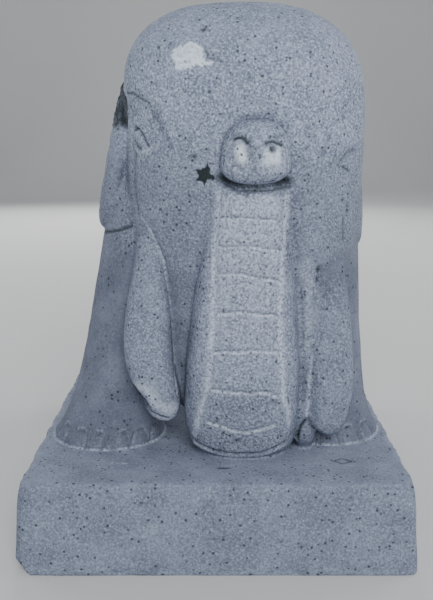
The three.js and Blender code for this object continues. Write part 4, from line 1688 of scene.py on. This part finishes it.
def fuse(name: str, surfaces: list[Surface], others: list[bpy.types.Object], cell: float,
         smoothing: int) -> bpy.types.Object:
    """Fuses surfaces and earlier objects into one skin of even cells.

    Args:
        name: the new object's name.
        surfaces: the closed surfaces to fuse.
        others: objects that go in too, and are used up.
        cell: the size of a cell in millimetres.
        smoothing: how many times each point moves towards the middle of its neighbours.

    Returns:
        The fused object.
    """
    fused = put_mesh(name, surfaces)
    if others:
        joined = [fused, *others]
        with bpy.context.temp_override(active_object=fused, selected_editable_objects=joined):
            bpy.ops.object.join()
    remesh = fused.modifiers.new("remesh", "REMESH")
    remesh.mode = "VOXEL"
    remesh.voxel_size = cell * MM
    smooth = fused.modifiers.new("smooth", "SMOOTH")
    smooth.factor = 0.5
    smooth.iterations = smoothing
    apply_modifiers(fused)
    return fused


def thin_out(piece: bpy.types.Object, most: int) -> None:
    """Thins a piece's mesh, first where it is flattest and least where the chisel went.

    Args:
        piece: the object, with the vertex group plain.
        most: how many triangles it may keep.
    """
    triangles = sum(len(face.vertices) - 2 for face in piece.data.polygons)
    if triangles <= most:
        return
    thin = piece.modifiers.new("thin", "DECIMATE")
    thin.ratio = most / triangles
    thin.vertex_group = "plain"
    thin.vertex_group_factor = 1.0
    apply_modifiers(piece)
    piece.vertex_groups.clear()


@dataclass(frozen=True)
class Lamp:
    """A square soft light aimed at the carving.

    Attributes:
        name: its name.
        place: where it stands, in millimetres.
        size: its side, in millimetres.
        power: its power in watts.
        aim: the place that it is turned to.
    """

    name: str
    place: Point
    size: float
    power: float
    aim: Point = (0.0, 0.0, 150.0)

    def build(self) -> None:
        """Puts the light into the scene."""
        data = bpy.data.lights.new(self.name, "AREA")
        data.size = self.size * MM
        data.energy = self.power
        light = bpy.data.objects.new(self.name, data)
        spot = Vector(self.place) * MM
        turned = (Vector(self.aim) * MM - spot).to_track_quat("-Z", "Y").to_matrix().to_4x4()
        light.matrix_world = Matrix.Translation(spot) @ turned
        bpy.context.scene.collection.objects.link(light)


@dataclass
class Studio:
    """The plain pale floor, the soft lights and the camera at the photograph's angle.

    Attributes:
        camera_place: where the camera stands, in millimetres.
        camera_pitch: how far it looks down, in degrees.
        focal_share: its focal length as a share of the picture's height.
        sensor: its sensor's size, in millimetres.
        lamps: the lights.
        sky: the colour of the light from all round.
        sky_strength: how strong that light is.
        floor_reach: how far the floor goes to each side and to the front, in millimetres.
        bend_from: how far behind the object the floor starts to bend up.
        bend_radius: the radius of the bend.
        floor_tone: the floor's colour.
    """

    camera_place: Point = (0.0, -540.0, 234.6)
    camera_pitch: float = 12.04
    focal_share: float = 830.0 / 600.0
    sensor: float = 36.0
    lamps: tuple[Lamp, ...] = (
        Lamp("key", (150.0, -1600.0, 1000.0), 900.0, 26.0),
        Lamp("fill", (1300.0, -300.0, 700.0), 900.0, 3.0),
        Lamp("right", (1500.0, 900.0, 450.0), 1000.0, 15.0),
        Lamp("left", (-1500.0, 1000.0, 450.0), 1000.0, 13.0),
        Lamp("back", (-200.0, 1700.0, 800.0), 1000.0, 14.0),
    )
    sky: Colour = (0.86, 0.9, 1.0)
    sky_strength: float = 0.39
    floor_reach: float = 4000.0
    bend_from: float = 1900.0
    bend_radius: float = 600.0
    floor_tone: Colour = (0.62, 0.62, 0.61)

    def build(self) -> None:
        """Makes the floor, the lights, the world and the camera."""
        self._floor()
        for lamp in self.lamps:
            lamp.build()
        world = bpy.data.worlds.new("studio")
        world.use_nodes = True
        background = world.node_tree.nodes["Background"]
        background.inputs["Color"].default_value = (*self.sky, 1.0)
        background.inputs["Strength"].default_value = self.sky_strength
        bpy.context.scene.world = world
        self._camera()

    def _floor(self) -> None:
        """A wide pale floor that bends up far behind the object, along a quarter of a circle."""
        reach, radius = self.floor_reach, self.bend_radius
        across = np.array([-reach, reach])
        bend = np.linspace(0.0, np.pi / 2.0, 13)
        back = np.concatenate([[-reach], self.bend_from + radius * np.sin(bend), [self.bend_from + radius]])
        rise = np.concatenate([[0.0], radius * (1.0 - np.cos(bend)), [reach]])
        points = [(x * MM, y * MM, z * MM) for y, z in zip(back, rise) for x in across]
        faces = [(2 * row, 2 * row + 1, 2 * row + 3, 2 * row + 2) for row in range(len(back) - 1)]
        mesh = bpy.data.meshes.new("floor")
        mesh.from_pydata(points, [], faces)
        floor = bpy.data.objects.new("floor", mesh)
        bpy.context.scene.collection.objects.link(floor)
        material = bpy.data.materials.new("pale_floor")
        material.use_nodes = True
        shader = material.node_tree.nodes["Principled BSDF"]
        shader.inputs["Base Color"].default_value = (*self.floor_tone, 1.0)
        shader.inputs["Roughness"].default_value = 0.9
        mesh.materials.append(material)
        mesh.shade_smooth()
        floor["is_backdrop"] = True

    def _camera(self) -> None:
        """The camera, level from side to side and pitched down."""
        data = bpy.data.cameras.new("camera")
        data.sensor_width = self.sensor
        data.lens = self.focal_share * self.sensor
        data.clip_start = 0.01
        camera = bpy.data.objects.new("camera", data)
        camera.location = Vector(self.camera_place) * MM
        camera.rotation_euler = (np.radians(90.0 - self.camera_pitch), 0.0, 0.0)
        bpy.context.scene.collection.objects.link(camera)
        bpy.context.scene.camera = camera


def main() -> None:
    """Builds the studio and the carving, whose plinth takes the size of the CAD model's box."""
    logging.basicConfig(level=logging.INFO, format="%(name)s: %(message)s")
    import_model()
    cad_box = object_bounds()
    low, high = (np.array(corner) / MM for corner in cad_box)
    Studio().build()
    elephant = Elephant(Plinth(width=float(high[0] - low[0]), depth=float(high[1] - low[1])))
    skin = elephant.build()
    skin.data.materials.clear()
    skin.data.materials.append(VolcanicStone().build())
    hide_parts(NODE)
    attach(skin, BODY)
    LOG.info("%s: %d faces", skin.name, len(skin.data.polygons))


if __name__ == "__main__":
    main()
